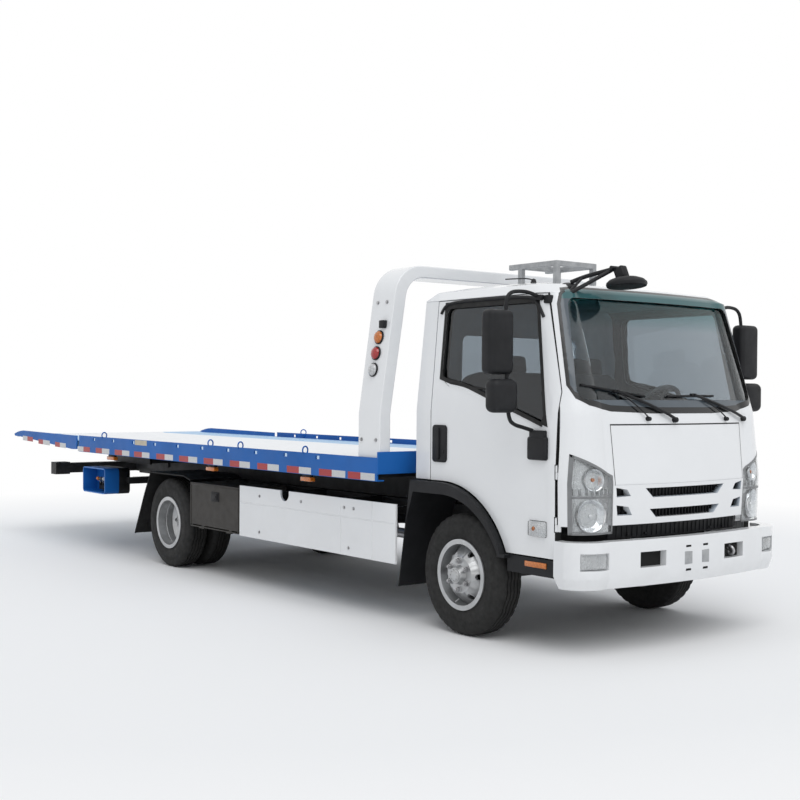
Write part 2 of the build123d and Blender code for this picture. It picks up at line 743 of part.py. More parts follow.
with BuildPart() as grille:
    add(cab_form(cab_wall + run_gap))
    add(cab_form(cab_wall + 20), mode=Mode.SUBTRACT)
    add(block((front_axle_x + 800, nose_x), (-grille_half, grille_half), grille_z), mode=Mode.INTERSECT)

rear_window_y = cab_half_width - 340
rear_window_z = (1500, 1900)
with BuildPart() as cab_rear:
    add(cab_skin.part)
    rear_shape = (
        (cab_rear_x - 200, cab_seat_floor_z),
        (cab_rear_x - 200, roof_joint_z),
        (door_rear_x - move_gap, roof_joint_z),
        (door_rear_x - move_gap, cab_seat_floor_z),
    )
    add(prism(Plane.XZ, rear_shape, -1500, 1500), mode=Mode.INTERSECT)
    opening = (
        (-rear_window_y, rear_window_z[0]),
        (rear_window_y, rear_window_z[0]),
        (rear_window_y, rear_window_z[1]),
        (-rear_window_y, rear_window_z[1]),
    )
    add(prism(Plane.YZ, opening, cab_rear_x - 200, cab_rear_x + 300, 50), mode=Mode.SUBTRACT)

with BuildPart() as cab_roof:
    add(cab_skin.part)
    roof_region = block((cab_rear_x - 300, nose_x + 200), (-1500, 1500), (roof_joint_z, cab_roof_z + 300))
    add(roof_region, mode=Mode.INTERSECT)

with BuildPart() as cab_glass:
    add(glass_skin.part)
    add(prism(Plane.YZ, screen_outline, front_axle_x + 300, nose_x + 200, 60), mode=Mode.INTERSECT)
    with BuildPart(mode=Mode.PRIVATE) as rear_pane:
        add(glass_skin.part)
        add(prism(Plane.YZ, opening, cab_rear_x - 200, cab_rear_x + 300, 50), mode=Mode.INTERSECT)
    add(rear_pane.part)

floor_line = (
    (cab_rear_x, cab_seat_floor_z),
    (front_axle_x + 290, cab_seat_floor_z),
    (front_axle_x + 390, cab_floor_z),
    (front_axle_x + 860, cab_floor_z),
)
floor_half_width = cab_half_width - cab_wall - 20
dash_half_width = cab_half_width - cab_wall - 35
with BuildPart() as cab_floor:
    add(cab_lining)
    band = list(floor_line) + [(x, z + floor_thickness) for x, z in reversed(floor_line)]
    add(prism(Plane.XZ, band, -floor_half_width, floor_half_width), mode=Mode.INTERSECT)

with BuildPart() as dashboard:
    add(cab_lining)
    dash = (
        (front_axle_x + 640, 1180),
        (front_axle_x + 600, 1290),
        (front_axle_x + 700, 1420),
        (nose_x, 1440),
        (nose_x, 1180),
    )
    add(prism(Plane.XZ, dash, -dash_half_width, dash_half_width), mode=Mode.INTERSECT)

steer_y = cab_half_width - 500
steer_centre = (front_axle_x + 400, steer_y, 1400)
steer_foot = (front_axle_x + 625, steer_y, 1225)
with BuildPart() as steering_wheel:
    column = Vector(*steer_foot) - Vector(*steer_centre)
    rim_plane = Plane(origin=steer_centre, x_dir=(0, 1, 0), z_dir=column)
    with Locations(rim_plane):
        Torus(205, 15)
        Cylinder(55, 40)
    for spoke_turn in (0, 120, 240):
        tip = Vector(205, 0, 0).rotate(Axis.Z, spoke_turn + 90)
        add(rod(steer_centre, tuple(rim_plane.from_local_coords(tip)), 11))
    add(rod(steer_centre, steer_foot, 30))
    add(dashboard.part, mode=Mode.SUBTRACT)

seat_floor = cab_seat_floor_z + floor_thickness + run_gap
seats_y = ((steer_y - 260, steer_y + 260), (160 - cab_half_width, 60))
with BuildPart() as seats:
    for low_y, high_y in seats_y:
        side_view = (
            (front_axle_x - 60, seat_floor),
            (front_axle_x + 280, seat_floor),
            (front_axle_x + 330, seat_floor + 170),
            (front_axle_x - 50, seat_floor + 150),
            (front_axle_x - 160, seat_floor + 760),
            (front_axle_x - 270, seat_floor + 760),
            (front_axle_x - 190, seat_floor + 40),
        )
        add(prism(Plane.XZ, side_view, -high_y, -low_y))

# Front mudguards: arch flares, liners over the tyres, mudflaps and the step under each door
flare_y = (cab_half_width + move_gap, cab_half_width + 50)
flare_gap = 8
flare_width = 75
flare_foot_width = 26
flare_top = cab_seat_floor_z - flare_gap
flare_foot_z = door_bottom_z - flare_gap
liner_y = (front_wheel_y - 270, cab_half_width - cab_wall - 2 * move_gap)
liner_wall = 6
liner_top = flare_top - flare_width
liner_line = (
    (cab_rear_x, liner_top),
    (front_axle_x + 150, liner_top),
    (front_axle_x + 440, 650),
)
step_z = (450, flare_foot_z)
step_front_x = door_front_x + 22
with BuildPart() as front_mudguards:
    with BuildSketch(Plane.XZ.offset(-flare_y[1])):
        with BuildLine():
            outer_foot = arch_point(arch_r - flare_gap, flare_foot_z)
            inner_foot = (outer_foot[0] - flare_foot_width, flare_foot_z)
            inner_mid = arch_point(arch_r - flare_gap - (flare_width + flare_foot_width) / 2, 790)
            Line((cab_rear_x, flare_top), (arch_centre_x, flare_top))
            RadiusArc((arch_centre_x, flare_top), outer_foot, arch_r - flare_gap)
            Line(outer_foot, inner_foot)
            ThreePointArc(inner_foot, inner_mid, (arch_centre_x, liner_top))
            Line((arch_centre_x, liner_top), (cab_rear_x, liner_top))
            Line((cab_rear_x, liner_top), (cab_rear_x, flare_top))
        make_face()
    extrude(amount=flare_y[1] - flare_y[0])
    add(block((cab_rear_x, arch_centre_x), (liner_y[1] - 10, flare_y[1]), (liner_top, flare_top)))
    liner = list(liner_line) + [(x, z + liner_wall) for x, z in reversed(liner_line)]
    add(prism(Plane.XZ, liner, -liner_y[1], -liner_y[0]))
    flap = (
        (cab_rear_x, flare_top),
        (cab_rear_x + 30, liner_top),
        (cab_rear_x - 30, 700),
        (cab_rear_x - 110, 235),
        (cab_rear_x - 118, 235),
        (cab_rear_x - 40, 700),
    )
    add(prism(Plane.XZ, flap, -flare_y[1], -liner_y[0]))
    stay_x = liner_line[2][0]
    add(block((stay_x - 12, stay_x + 12), (rail_half_width, liner_y[0] + 90), (650, 690)))
    add(block((front_axle_x + 455, step_front_x), (cab_half_width - 180, cab_half_width - 12), step_z))
    add(block((front_axle_x + 402, step_front_x), (cab_half_width - 20, cab_half_width), step_z))
    foot_x, foot_z = outer_foot[0], (flare_foot_z - 20, flare_foot_z)
    add(block((foot_x - flare_foot_width, foot_x + 40), flare_y, foot_z))
    add(block((foot_x + 14, foot_x + 40), (cab_half_width - 20, flare_y[1]), foot_z))
    mirror(about=Plane.XZ)

# Bumper: a wrapped band, open behind, with tow openings, lamp pockets and a lower edge that leans back
bumper_z = (400, 672)
bumper_half = cab_half_width + 40
bumper_wall = 70
bumper_crease_z = 470
bumper_lean = 18
tow_y = (cab_half_width - 630, cab_half_width - 425)
tow_z = (510, 600)
fog_y = (cab_half_width - 192, cab_half_width - 13)
fog_z = (512, 609)
fog_rear_x = front_axle_x + 962


def bumper_line(half, ends, bend, shoulder, tip):
    """Closed plan outline of the bumper: straight ends, two corner arcs and the bowed front."""
    (rear_x, front_x), (corner_x, corner_y), (shoulder_x, shoulder_y) = ends, bend, shoulder
    with BuildSketch() as drawn:
        with BuildLine():
            Line((rear_x, half), (front_x, half))
            ThreePointArc((front_x, half), (corner_x, corner_y), (shoulder_x, shoulder_y))
            ThreePointArc((shoulder_x, shoulder_y), (tip, 0), (shoulder_x, -shoulder_y))
            ThreePointArc((shoulder_x, -shoulder_y), (corner_x, -corner_y), (front_x, -half))
            Line((front_x, -half), (rear_x, -half))
            Line((rear_x, -half), (rear_x, half))
        make_face()
    return drawn.sketch


with BuildPart() as front_bumper:
    outer_line = bumper_line(
        bumper_half,
        (front_axle_x + 830, front_axle_x + 900),
        (front_axle_x + 1000, bumper_half - 60),
        (front_axle_x + 1045, bumper_half - 240),
        nose_x,
    )
    inner_line = bumper_line(
        bumper_half - bumper_wall,
        (front_axle_x + 800, front_axle_x + 880),
        (front_axle_x + 945, bumper_half - 120),
        (front_axle_x + 975, bumper_half - 260),
        nose_x - bumper_wall,
    )
    with BuildSketch(Plane.XY.offset(bumper_crease_z)):
        add(outer_line)
    extrude(amount=bumper_z[1] - bumper_crease_z)
    with BuildSketch(Plane.XY.offset(bumper_crease_z)):
        add(outer_line)
    extrude(amount=bumper_z[0] - bumper_crease_z, taper=bumper_lean)
    with BuildSketch(Plane.XY.offset(bumper_z[0] - 1)):
        add(inner_line)
    extrude(amount=bumper_z[1] - bumper_z[0] + 2, mode=Mode.SUBTRACT)
    for side in (1, -1):
        bracket_y = side * (rail_half_width - rail_flange / 2)
        bracket = (bracket_y - 30, bracket_y + 30)
        opening = sorted(side * y for y in tow_y)
        pocket = sorted(side * y for y in fog_y)
        add(block((front_axle_x + 900, nose_x + 20), opening, tow_z), mode=Mode.SUBTRACT)
        add(block((fog_rear_x, nose_x + 20), pocket, fog_z), mode=Mode.SUBTRACT)
        add(block((frame_front_x, nose_x - bumper_wall), bracket, (tow_z[1] + 10, 660)))

# Look-down mirror on the roof's front corner, and the lamp frame on the roof
lookdown_y = 450 - cab_half_width
with BuildPart() as lookdown_mirror:
    arm_tip = (front_axle_x + 838, lookdown_y, 2252)
    for foot in ((front_axle_x + 540, lookdown_y - 330, 2090), (front_axle_x + 470, lookdown_y - 170, 2165)):
        add(rod(foot, arm_tip, 10))
    add(rod((arm_tip[0] - 10, lookdown_y, arm_tip[2]), (front_axle_x + 920, lookdown_y, 2170), 16))
    with Locations(Plane(origin=(front_axle_x + 920, lookdown_y, 2158), z_dir=(0.1, 0, 1))):
        Cone(138, 70, 34)
    add(cab_outer, mode=Mode.SUBTRACT)

roof_bar_z = 2350
roof_bar = 36
roof_bar_y = 170
roof_bar_x = (front_axle_x - 380, front_axle_x + 80)
with BuildPart() as roof_frame:
    for bar_y in (-roof_bar_y, roof_bar_y):
        across = (bar_y - roof_bar / 2, bar_y + roof_bar / 2)
        add(block(roof_bar_x, across, (roof_bar_z, roof_bar_z + roof_bar)))
        for foot_x in (roof_bar_x[0] + 90, roof_bar_x[1] - roof_bar):
            add(block((foot_x, foot_x + roof_bar), across, (cab_roof_z - 120, roof_bar_z)))
    for foot_x in (roof_bar_x[0] + 90, roof_bar_x[1] - roof_bar):
        bar_x, bar_z = (foot_x, foot_x + roof_bar), (roof_bar_z, roof_bar_z + roof_bar)
        add(block(bar_x, (-roof_bar_y, roof_bar_y), bar_z))
    add(cab_outer, mode=Mode.SUBTRACT)

# Door mirrors: a tube frame with a tall mirror and a wide-angle one below
mirror_post_y = -cab_half_width - 175
mirror_post_x = front_axle_x + 600
mirror_tube = 11
with BuildPart() as right_mirror:
    bracket_x = (front_axle_x + 640, front_axle_x + 740)
    add(block(bracket_x, (-cab_half_width - 30, -cab_half_width), (1180, 1340)))
    low = (mirror_post_x, mirror_post_y, 1370)
    high = (mirror_post_x, mirror_post_y, 2050)
    add(rod((front_axle_x + 690, -cab_half_width - 20, 1300), low, mirror_tube))
    add(rod(low, high, mirror_tube))
    add(rod(high, (front_axle_x + 600, 54 - cab_half_width, 2075), mirror_tube))
    for low_z, high_z in ((1402, 1590), (1622, 1995)):
        with BuildSketch(Plane.XY.offset(low_z)) as head:
            with Locations((mirror_post_x + 10, mirror_post_y - 70)):
                Rectangle(120, 200)
            fillet(head.vertices(), 40)
        extrude(amount=high_z - low_z)
    add(cab_outer, mode=Mode.SUBTRACT)
with BuildPart() as left_mirror:
    mirror(right_mirror.part, about=Plane.XZ)

# Tilt frame: two box rails on the chassis, hinged at the tail, with the slide cylinder's barrel between them
slide_z = 855
slide_r = 40
slide_bore = 32
slide_rod_r = 22
bearer_count = 9
bearer_step = (bed_front_x - bed_split_x - 200) / (bearer_count - 1)
slide_lug_x = bed_split_x + 100 + 2 * bearer_step
slide_barrel_x = (slide_lug_x + 60, tilt_front_x - 60)
with BuildPart() as tilt_frame:
    rail_y = (tilt_rail_y - tilt_rail_width / 2, tilt_rail_y + tilt_rail_width / 2)
    add(block((tilt_rear_x, tilt_front_x), rail_y, (tilt_bottom, tilt_top)))
    mirror(about=Plane.XZ)
    for cross_x, low_z, high_z in (
        (tilt_front_x - 30, tilt_bottom, tilt_top),
        (front_axle_x - 1500, tilt_bottom, tilt_bottom + 50),
        (rear_axle_x + 300, tilt_bottom, tilt_bottom + 50),
        (rear_axle_x - 700, tilt_bottom, tilt_bottom + 50),
    ):
        add(block((cross_x - 30, cross_x + 30), (-rail_y[0], rail_y[0]), (low_z, high_z)))
    add(rod((tilt_eye_x, -rail_y[0], tilt_eye_z), (tilt_eye_x, rail_y[0], tilt_eye_z), tilt_eye_r))
    for support_x in (front_axle_x - 1500, rear_axle_x + 300):
        add(block((support_x - 30, support_x + 30), (-30, 30), (tilt_bottom + 40, slide_z)))
    add(rod((slide_barrel_x[0], 0, slide_z), (slide_barrel_x[1] + 60, 0, slide_z), slide_r))
    add(
        rod((slide_barrel_x[0] - 1, 0, slide_z), (slide_barrel_x[1] - 40, 0, slide_z), slide_bore),
        mode=Mode.SUBTRACT,
    )
    add(
        rod((tilt_pivot_x, -500, tilt_pivot_z), (tilt_pivot_x, 500, tilt_pivot_z), tilt_pin_r + run_gap),
        mode=Mode.SUBTRACT,
    )
    for side in (1, -1):
        plate_y = sorted((side * (lift_box_width / 2 + 6), side * (lift_box_width / 2 + 30)))
        add(block((lift_pivot_x - 60, lift_pivot_x + 60), plate_y, (lift_z - 50, tilt_top - 30)))
        strut_y = sorted((side * (lift_box_width / 2 + 6), side * rail_y[0]))
        add(block((lift_pivot_x - 30, lift_pivot_x + 30), strut_y, (tilt_top - 70, tilt_top)))
    pin_y = lift_box_width / 2 + 30
    add(rod((lift_pivot_x, -pin_y, lift_z), (lift_pivot_x, pin_y, lift_z), lift_pin_r))

# Tilt cylinders: barrels on the chassis, rods up to the tilt frame's eye bar
barrel_r = 45
barrel_bore = 36
cylinder_rod_r = 24
eye_clear = 14
cylinder_plane = Plane(
    origin=(barrel_foot_x, 0, barrel_foot_z),
    x_dir=(0, 1, 0),
    z_dir=(tilt_eye_x - barrel_foot_x, 0, tilt_eye_z - barrel_foot_z),
)
cylinder_length = hypot(tilt_eye_x - barrel_foot_x, tilt_eye_z - barrel_foot_z)
with BuildPart() as tilt_barrels:
    with BuildSketch(cylinder_plane.offset(0)):
        with Locations((barrel_y, 0)):
            Circle(barrel_r)
    extrude(amount=cylinder_length - 90)
    with BuildSketch(cylinder_plane.offset(60)):
        with Locations((barrel_y, 0)):
            Circle(barrel_bore)
    extrude(amount=cylinder_length, mode=Mode.SUBTRACT)
    foot_y = (barrel_y - barrel_r, barrel_y + barrel_r)
    add(rod((barrel_foot_x, foot_y[0], barrel_foot_z), (barrel_foot_x, foot_y[1], barrel_foot_z), 40))
    add(
        rod((barrel_foot_x, 0, barrel_foot_z), (barrel_foot_x, 400, barrel_foot_z), barrel_foot_r + run_gap),
        mode=Mode.SUBTRACT,
    )
    mirror(about=Plane.XZ)

with BuildPart() as tilt_rods:
    with BuildSketch(cylinder_plane.offset(120)):
        with Locations((barrel_y, 0)):
            Circle(cylinder_rod_r)
    extrude(amount=cylinder_length - 120)
    with BuildSketch(cylinder_plane.offset(120)):
        with Locations((barrel_y, 0)):
            Circle(barrel_bore - run_gap)
    extrude(amount=50)
    eye_y, eye_r = (barrel_y - 30, barrel_y + 30), tilt_eye_r + eye_clear + 12
    add(rod((tilt_eye_x, eye_y[0], tilt_eye_z), (tilt_eye_x, eye_y[1], tilt_eye_z), eye_r))
    add(
        rod((tilt_eye_x, 0, tilt_eye_z), (tilt_eye_x, 400, tilt_eye_z), tilt_eye_r + eye_clear),
        mode=Mode.SUBTRACT,
    )
    mirror(about=Plane.XZ)

# Bed frame: two long beams on the tilt frame, and cross bearers of which one holds the slide cylinder's rod
beam_bottom = tilt_top + run_gap
deck_bottom = deck_top - deck_thickness
deck_half_width = bed_half_width - bed_rail_depth
deck_seam_x = bed_front_x - 760
bearer_bottom = 950
tail_beam_end_x = bed_split_x - 1150
with BuildPart() as bed_frame:
    beam_side = (
        (bed_front_x - 30, beam_bottom),
        (bed_front_x - 30, deck_bottom),
        (tail_beam_end_x, deck_bottom),
        (tail_beam_end_x, deck_bottom - 50),
        (bed_split_x, beam_bottom),
    )
    add(prism(Plane.XZ, beam_side, -rail_y[1], -rail_y[0]))
    mirror(about=Plane.XZ)

with BuildPart() as bed_bearers:
    for index in range(bearer_count):
        bearer_x = bed_split_x + 100 + index * bearer_step
        for span in ((-deck_half_width, -rail_y[1]), (-rail_y[0], rail_y[0]), (rail_y[1], deck_half_width)):
            add(block((bearer_x - 30, bearer_x + 30), span, (bearer_bottom, deck_bottom)))
    add(block((slide_lug_x - 30, slide_lug_x + 30), (-35, 35), (slide_z - 30, bearer_bottom)))
    rod_end = slide_barrel_x[1] - 60
    add(rod((slide_lug_x, 0, slide_z), (rod_end, 0, slide_z), slide_rod_r))
    add(rod((rod_end - 60, 0, slide_z), (rod_end, 0, slide_z), slide_bore - run_gap))

with BuildPart() as bed_deck:
    add(block((bed_split_x, deck_seam_x), (-deck_half_width, deck_half_width), (deck_bottom, deck_top)))
with BuildPart() as front_deck:
    add(block((deck_seam_x, bed_front_x - 12), (-deck_half_width, deck_half_width), (deck_bottom, deck_top)))

# Side rails: channels with an upstanding lip, slotted for straps, and the side plates of the tail
slot_length = 46
slot_z = (1045, 1069)
slot_pitch = 416
slot_count = 10
first_slot_x = bed_split_x + 318
tail_gap = 12
tail_front_x = bed_split_x - tail_gap - 50
tail_tip_z = 1051
with BuildPart() as bed_rails:
    web = bed_half_width - bed_rail_wall
    channel = (
        (bed_half_width, rail_base),
        (bed_half_width, rail_lip_top),
        (web, rail_lip_top),
        (web, deck_top),
        (deck_half_width, deck_top),
        (deck_half_width, deck_bottom),
        (web, deck_bottom),
        (web, rail_base + 8),
        (deck_half_width, rail_base + 8),
        (deck_half_width, rail_base),
    )
    add(prism(Plane.YZ, channel, bed_split_x, bed_front_x - 12))
    with BuildSketch(Plane.XZ.offset(-bed_half_width)):
        with BuildLine():
            high_front = (tail_front_x, rail_lip_top - 6)
            low_front = (tail_front_x, rail_base + 20)
            low_bend = (tail_front_x - 108, rail_base + 17)
            high_bend = (tail_x + 250, rail_lip_top + 6)
            tip = (tail_x, tail_tip_z)
            Line(low_front, high_front)
            Line(high_front, high_bend)
            ThreePointArc(high_bend, (tail_x + 110, rail_lip_top - 9), tip)
            ThreePointArc(tip, (tail_x + 16, tail_tip_z - 16), (tail_x + 62, tail_tip_z - 18))
            Line((tail_x + 62, tail_tip_z - 18), low_bend)
            Line(low_bend, low_front)
        make_face()
    extrude(amount=bed_rail_wall)
    for index in range(slot_count):
        slot_x = first_slot_x + index * slot_pitch
        add(
            block((slot_x, slot_x + slot_length), (web - 5, bed_half_width + 5), slot_z),
            mode=Mode.SUBTRACT,
        )
    mirror(about=Plane.XZ)

header_z = (977, 1124)
with BuildPart() as bed_header:
    add(block((bed_front_x - 12, bed_front_x), (-bed_half_width, bed_half_width), header_z))

# Tail: deck, ribs and the rounded tip between the side plates
with BuildPart() as bed_tail:
    web = bed_half_width - bed_rail_wall
    add(block((tail_x + 60, bed_split_x - tail_gap), (-web, web), (deck_bottom, deck_top)))
    nose = (
        (tail_x + 60, deck_bottom - 10),
        (tail_x + 60, deck_top),
        (tail_x + 6, tail_tip_z - 4),
        (tail_x + 6, tail_tip_z - 12),
    )
    add(prism(Plane.XZ, nose, -web, web))
    for rib_x, rib_depth in ((bed_split_x - 300, 70), (bed_split_x - 760, 44), (bed_split_x - 1250, 20)):
        for low_y, high_y in ((-web, -rail_y[1] - 1), (-rail_y[0] + 1, rail_y[0] - 1), (rail_y[1] + 1, web)):
            add(block((rib_x - 25, rib_x + 25), (low_y, high_y), (deck_bottom - rib_depth, deck_bottom)))

# Gantry: a leaning portal of box section behind the cab
gantry_x = (bed_front_x - 257, bed_front_x - 15)
gantry_top = 2362
gantry_leg = 88
gantry_beam = 80
gantry_knee_z = deck_top + 330
gantry_foot_y = bed_half_width - 25
gantry_head_y = bed_half_width - 170


def gantry_face(inset, foot_z, top_z):
    """Portal outline with upright feet and sides that lean in above the knee, as (y, z) points."""
    leg_y, head_y = gantry_foot_y - inset, gantry_head_y - inset
    right = ((leg_y, foot_z), (leg_y, gantry_knee_z), (head_y, top_z))
    return right + tuple((-y, z) for y, z in reversed(right))


with BuildPart() as gantry:
    with BuildSketch(Plane.YZ.offset(gantry_x[0])) as outer:
        Polygon(*gantry_face(0, deck_top, gantry_top), align=None)
        fillet(outer.vertices().group_by(Axis.Y)[-1], 230)
    extrude(amount=gantry_x[1] - gantry_x[0])
    with BuildSketch(Plane.YZ.offset(gantry_x[0])) as inner_shape:
        Polygon(*gantry_face(gantry_leg, deck_top - 1, gantry_top - gantry_beam), align=None)
        fillet(inner_shape.vertices().group_by(Axis.Y)[-1], 150)
    extrude(amount=gantry_x[1] - gantry_x[0], mode=Mode.SUBTRACT)

# Winch on the deck behind the gantry
winch_x = bed_front_x - 480
winch_z = deck_top + 140
drum_half = 190
with BuildPart() as winch:
    add(block((winch_x - 170, winch_x + 170), (-330, 330), (deck_top, deck_top + 16)))
    for low_y, high_y in ((-230, -drum_half - move_gap), (drum_half + move_gap, 230)):
        add(block((winch_x - 90, winch_x + 90), (low_y, high_y), (deck_top + 16, winch_z + 90)))
    add(rod((winch_x, 230, winch_z), (winch_x, 330, winch_z), 80))
    add(rod((winch_x, -330, winch_z), (winch_x, -230, winch_z), 60))
    add(rod((winch_x, -240, winch_z), (winch_x, 240, winch_z), 25 + run_gap), mode=Mode.SUBTRACT)
with BuildPart() as winch_drum:
    add(rod((winch_x, -drum_half, winch_z), (winch_x, drum_half, winch_z), 55))
    add(rod((winch_x, -229, winch_z), (winch_x, 229, winch_z), 25))
    for low_y in (-drum_half, drum_half - 12):
        add(rod((winch_x, low_y, winch_z), (winch_x, low_y + 12, winch_z), 95))

# Wheel lift: a box boom on the tilt frame's tail, and a stinger with the crossbar
boom_end_x = crossbar_x + 160
lift_half_height = lift_box_height / 2
with BuildPart() as lift_boom:
    boom_x = (boom_end_x, lift_pivot_x + 75)
    half = lift_box_width / 2
    add(block(boom_x, (-half, half), (lift_z - lift_half_height, lift_z + lift_half_height)))
    bore = half - lift_box_wall
    bore_z = lift_half_height - lift_box_wall
    add(
        block((boom_end_x - 1, lift_pivot_x - 60), (-bore, bore), (lift_z - bore_z, lift_z + bore_z)),
        mode=Mode.SUBTRACT,
    )
    add(
        rod((lift_pivot_x, -200, lift_z), (lift_pivot_x, 200, lift_z), lift_pin_r + run_gap),
        mode=Mode.SUBTRACT,
    )
with BuildPart() as lift_stinger:
    slide_clear = 1
    inner_half = half - lift_box_wall - slide_clear
    inner_z = lift_half_height - lift_box_wall - run_gap
    tube_z = (lift_z - inner_z, lift_z + inner_z)
    add(block((crossbar_x, lift_pivot_x - 80), (-inner_half, inner_half), tube_z))
    bar = crossbar_size / 2
    bar_x, bar_z = (crossbar_x - bar, crossbar_x + bar), (lift_z - bar, lift_z + bar)
    add(block(bar_x, (-crossbar_half, crossbar_half), bar_z))
    for side in (1, -1):
        head_y = sorted((side * (crossbar_half - head_length), side * crossbar_half))
        head_z = (lift_z - bar - head_cap, lift_z + bar + head_cap)
        add(block((crossbar_x - bar - 15, crossbar_x + bar + 15), head_y, head_z))
        bore_y = side * (crossbar_half - head_length / 2)
        bore_ends = [(crossbar_x, bore_y, z) for z in (head_z[0] - 1, head_z[1] + 1)]
        add(rod(bore_ends[0], bore_ends[1], head_bore_r), mode=Mode.SUBTRACT)

built_pieces = {
    "chassis_frame": chassis_frame, "front_axle": front_axle, "rear_axle": rear_axle,
    "leaf_springs": leaf_springs, "drive_line": drive_line, "fuel_tank": fuel_tank, "silencer": silencer,
    "side_guards": side_guards, "tool_boxes": tool_boxes, "rear_mudguards": rear_mudguards,
    "control_boxes": control_boxes, "rear_lamps": rear_lamps, "cab_floor": cab_floor, "cab_rear": cab_rear,
    "cab_roof": cab_roof, "cab_front": cab_front, "hood_panel": hood_panel, "grille": grille,
    "headlamps": headlamps, "front_bumper": front_bumper, "cab_glass": cab_glass, "dashboard": dashboard,
    "steering_wheel": steering_wheel, "seats": seats, "front_mudguards": front_mudguards,
    "lookdown_mirror": lookdown_mirror, "roof_frame": roof_frame,
    "right_door": right_door, "right_door_glass": right_door_glass, "right_mirror": right_mirror,
    "left_door": left_door, "left_door_glass": left_door_glass, "left_mirror": left_mirror,
    "right_knuckle": right_knuckle, "left_knuckle": left_knuckle,
    "front_right_tyre": front_right_tyre, "front_right_rim": front_right_rim,
    "front_left_tyre": front_left_tyre, "front_left_rim": front_left_rim,
    "rear_right_tyres": rear_right_tyres, "rear_right_rims": rear_right_rims,
    "rear_left_tyres": rear_left_tyres, "rear_left_rims": rear_left_rims,
    "right_box_lid": right_box_lid, "left_box_lid": left_box_lid,
    "tilt_frame": tilt_frame, "tilt_barrels": tilt_barrels, "tilt_rods": tilt_rods,
    "bed_frame": bed_frame, "bed_bearers": bed_bearers, "bed_deck": bed_deck, "front_deck": front_deck,
    "bed_rails": bed_rails, "bed_header": bed_header, "bed_tail": bed_tail,
    "gantry": gantry, "winch": winch, "winch_drum": winch_drum,
    "lift_boom": lift_boom, "lift_stinger": lift_stinger,
}
for name, piece in built_pieces.items():
    piece.part.label = name
    export_step(piece.part, f"parts/{name}.step")
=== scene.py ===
"""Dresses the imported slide-bed recovery truck: finishes, trim, lamps, wheels, cabin and stage.

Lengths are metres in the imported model's frame: +X forward, +Y the truck's left, +Z up.
"""
import json
from math import atan2, cos, pi, radians, sin

import bmesh
import bpy
from bpy.props import FloatProperty, FloatVectorProperty, IntProperty, PointerProperty
from mathutils import Matrix, Vector
from mathutils.bvhtree import BVHTree

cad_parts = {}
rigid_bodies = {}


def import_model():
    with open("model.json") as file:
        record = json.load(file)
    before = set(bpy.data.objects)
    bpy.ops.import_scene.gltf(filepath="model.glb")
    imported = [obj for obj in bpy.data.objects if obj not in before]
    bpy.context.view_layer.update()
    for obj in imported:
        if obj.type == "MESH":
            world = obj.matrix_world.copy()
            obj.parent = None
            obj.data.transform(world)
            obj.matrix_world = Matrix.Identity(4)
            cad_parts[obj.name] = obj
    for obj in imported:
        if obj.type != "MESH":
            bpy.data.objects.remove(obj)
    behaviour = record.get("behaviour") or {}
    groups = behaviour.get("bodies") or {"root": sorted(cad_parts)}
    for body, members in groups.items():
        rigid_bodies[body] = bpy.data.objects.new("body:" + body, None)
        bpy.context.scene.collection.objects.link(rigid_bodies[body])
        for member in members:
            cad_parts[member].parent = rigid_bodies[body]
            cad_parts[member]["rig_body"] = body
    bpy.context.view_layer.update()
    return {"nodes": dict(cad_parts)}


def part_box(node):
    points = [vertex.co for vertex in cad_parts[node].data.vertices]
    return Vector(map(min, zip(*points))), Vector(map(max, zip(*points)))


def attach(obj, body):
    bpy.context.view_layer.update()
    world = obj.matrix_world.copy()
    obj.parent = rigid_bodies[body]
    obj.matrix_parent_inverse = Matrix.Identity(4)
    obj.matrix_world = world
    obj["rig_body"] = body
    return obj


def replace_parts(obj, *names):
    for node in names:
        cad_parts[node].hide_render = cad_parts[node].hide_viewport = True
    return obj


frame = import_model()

bl_info = {
    "name": "Slide-bed recovery truck",
    "version": (1, 0, 0),
    "blender": (4, 5, 0),
    "location": "View3D > Sidebar > Truck",
    "description": "Finishes and trim for a slide-bed recovery truck",
    "category": "Object",
}

SIDES = {"right": -1, "left": 1}
FRONT_AXLE_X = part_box("front_right_tyre")[0].lerp(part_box("front_right_tyre")[1], 0.5).x
REAR_AXLE_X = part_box("rear_right_tyres")[0].lerp(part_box("rear_right_tyres")[1], 0.5).x
TYRE_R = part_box("front_right_tyre")[1].z / 2
DECK_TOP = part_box("bed_deck")[1].z
_, RAIL_Y, RAIL_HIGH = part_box("bed_rails")[1]


def colour(name, text, value):
    """A colour that the panel shows, in scene-linear values."""
    return FloatVectorProperty(name=name, description=text, subtype="COLOR", size=3, min=0, max=1, default=value)


def length(name, text, value):
    """A length that the panel shows, in metres."""
    return FloatProperty(name=name, description=text, unit="LENGTH", min=0, default=value)


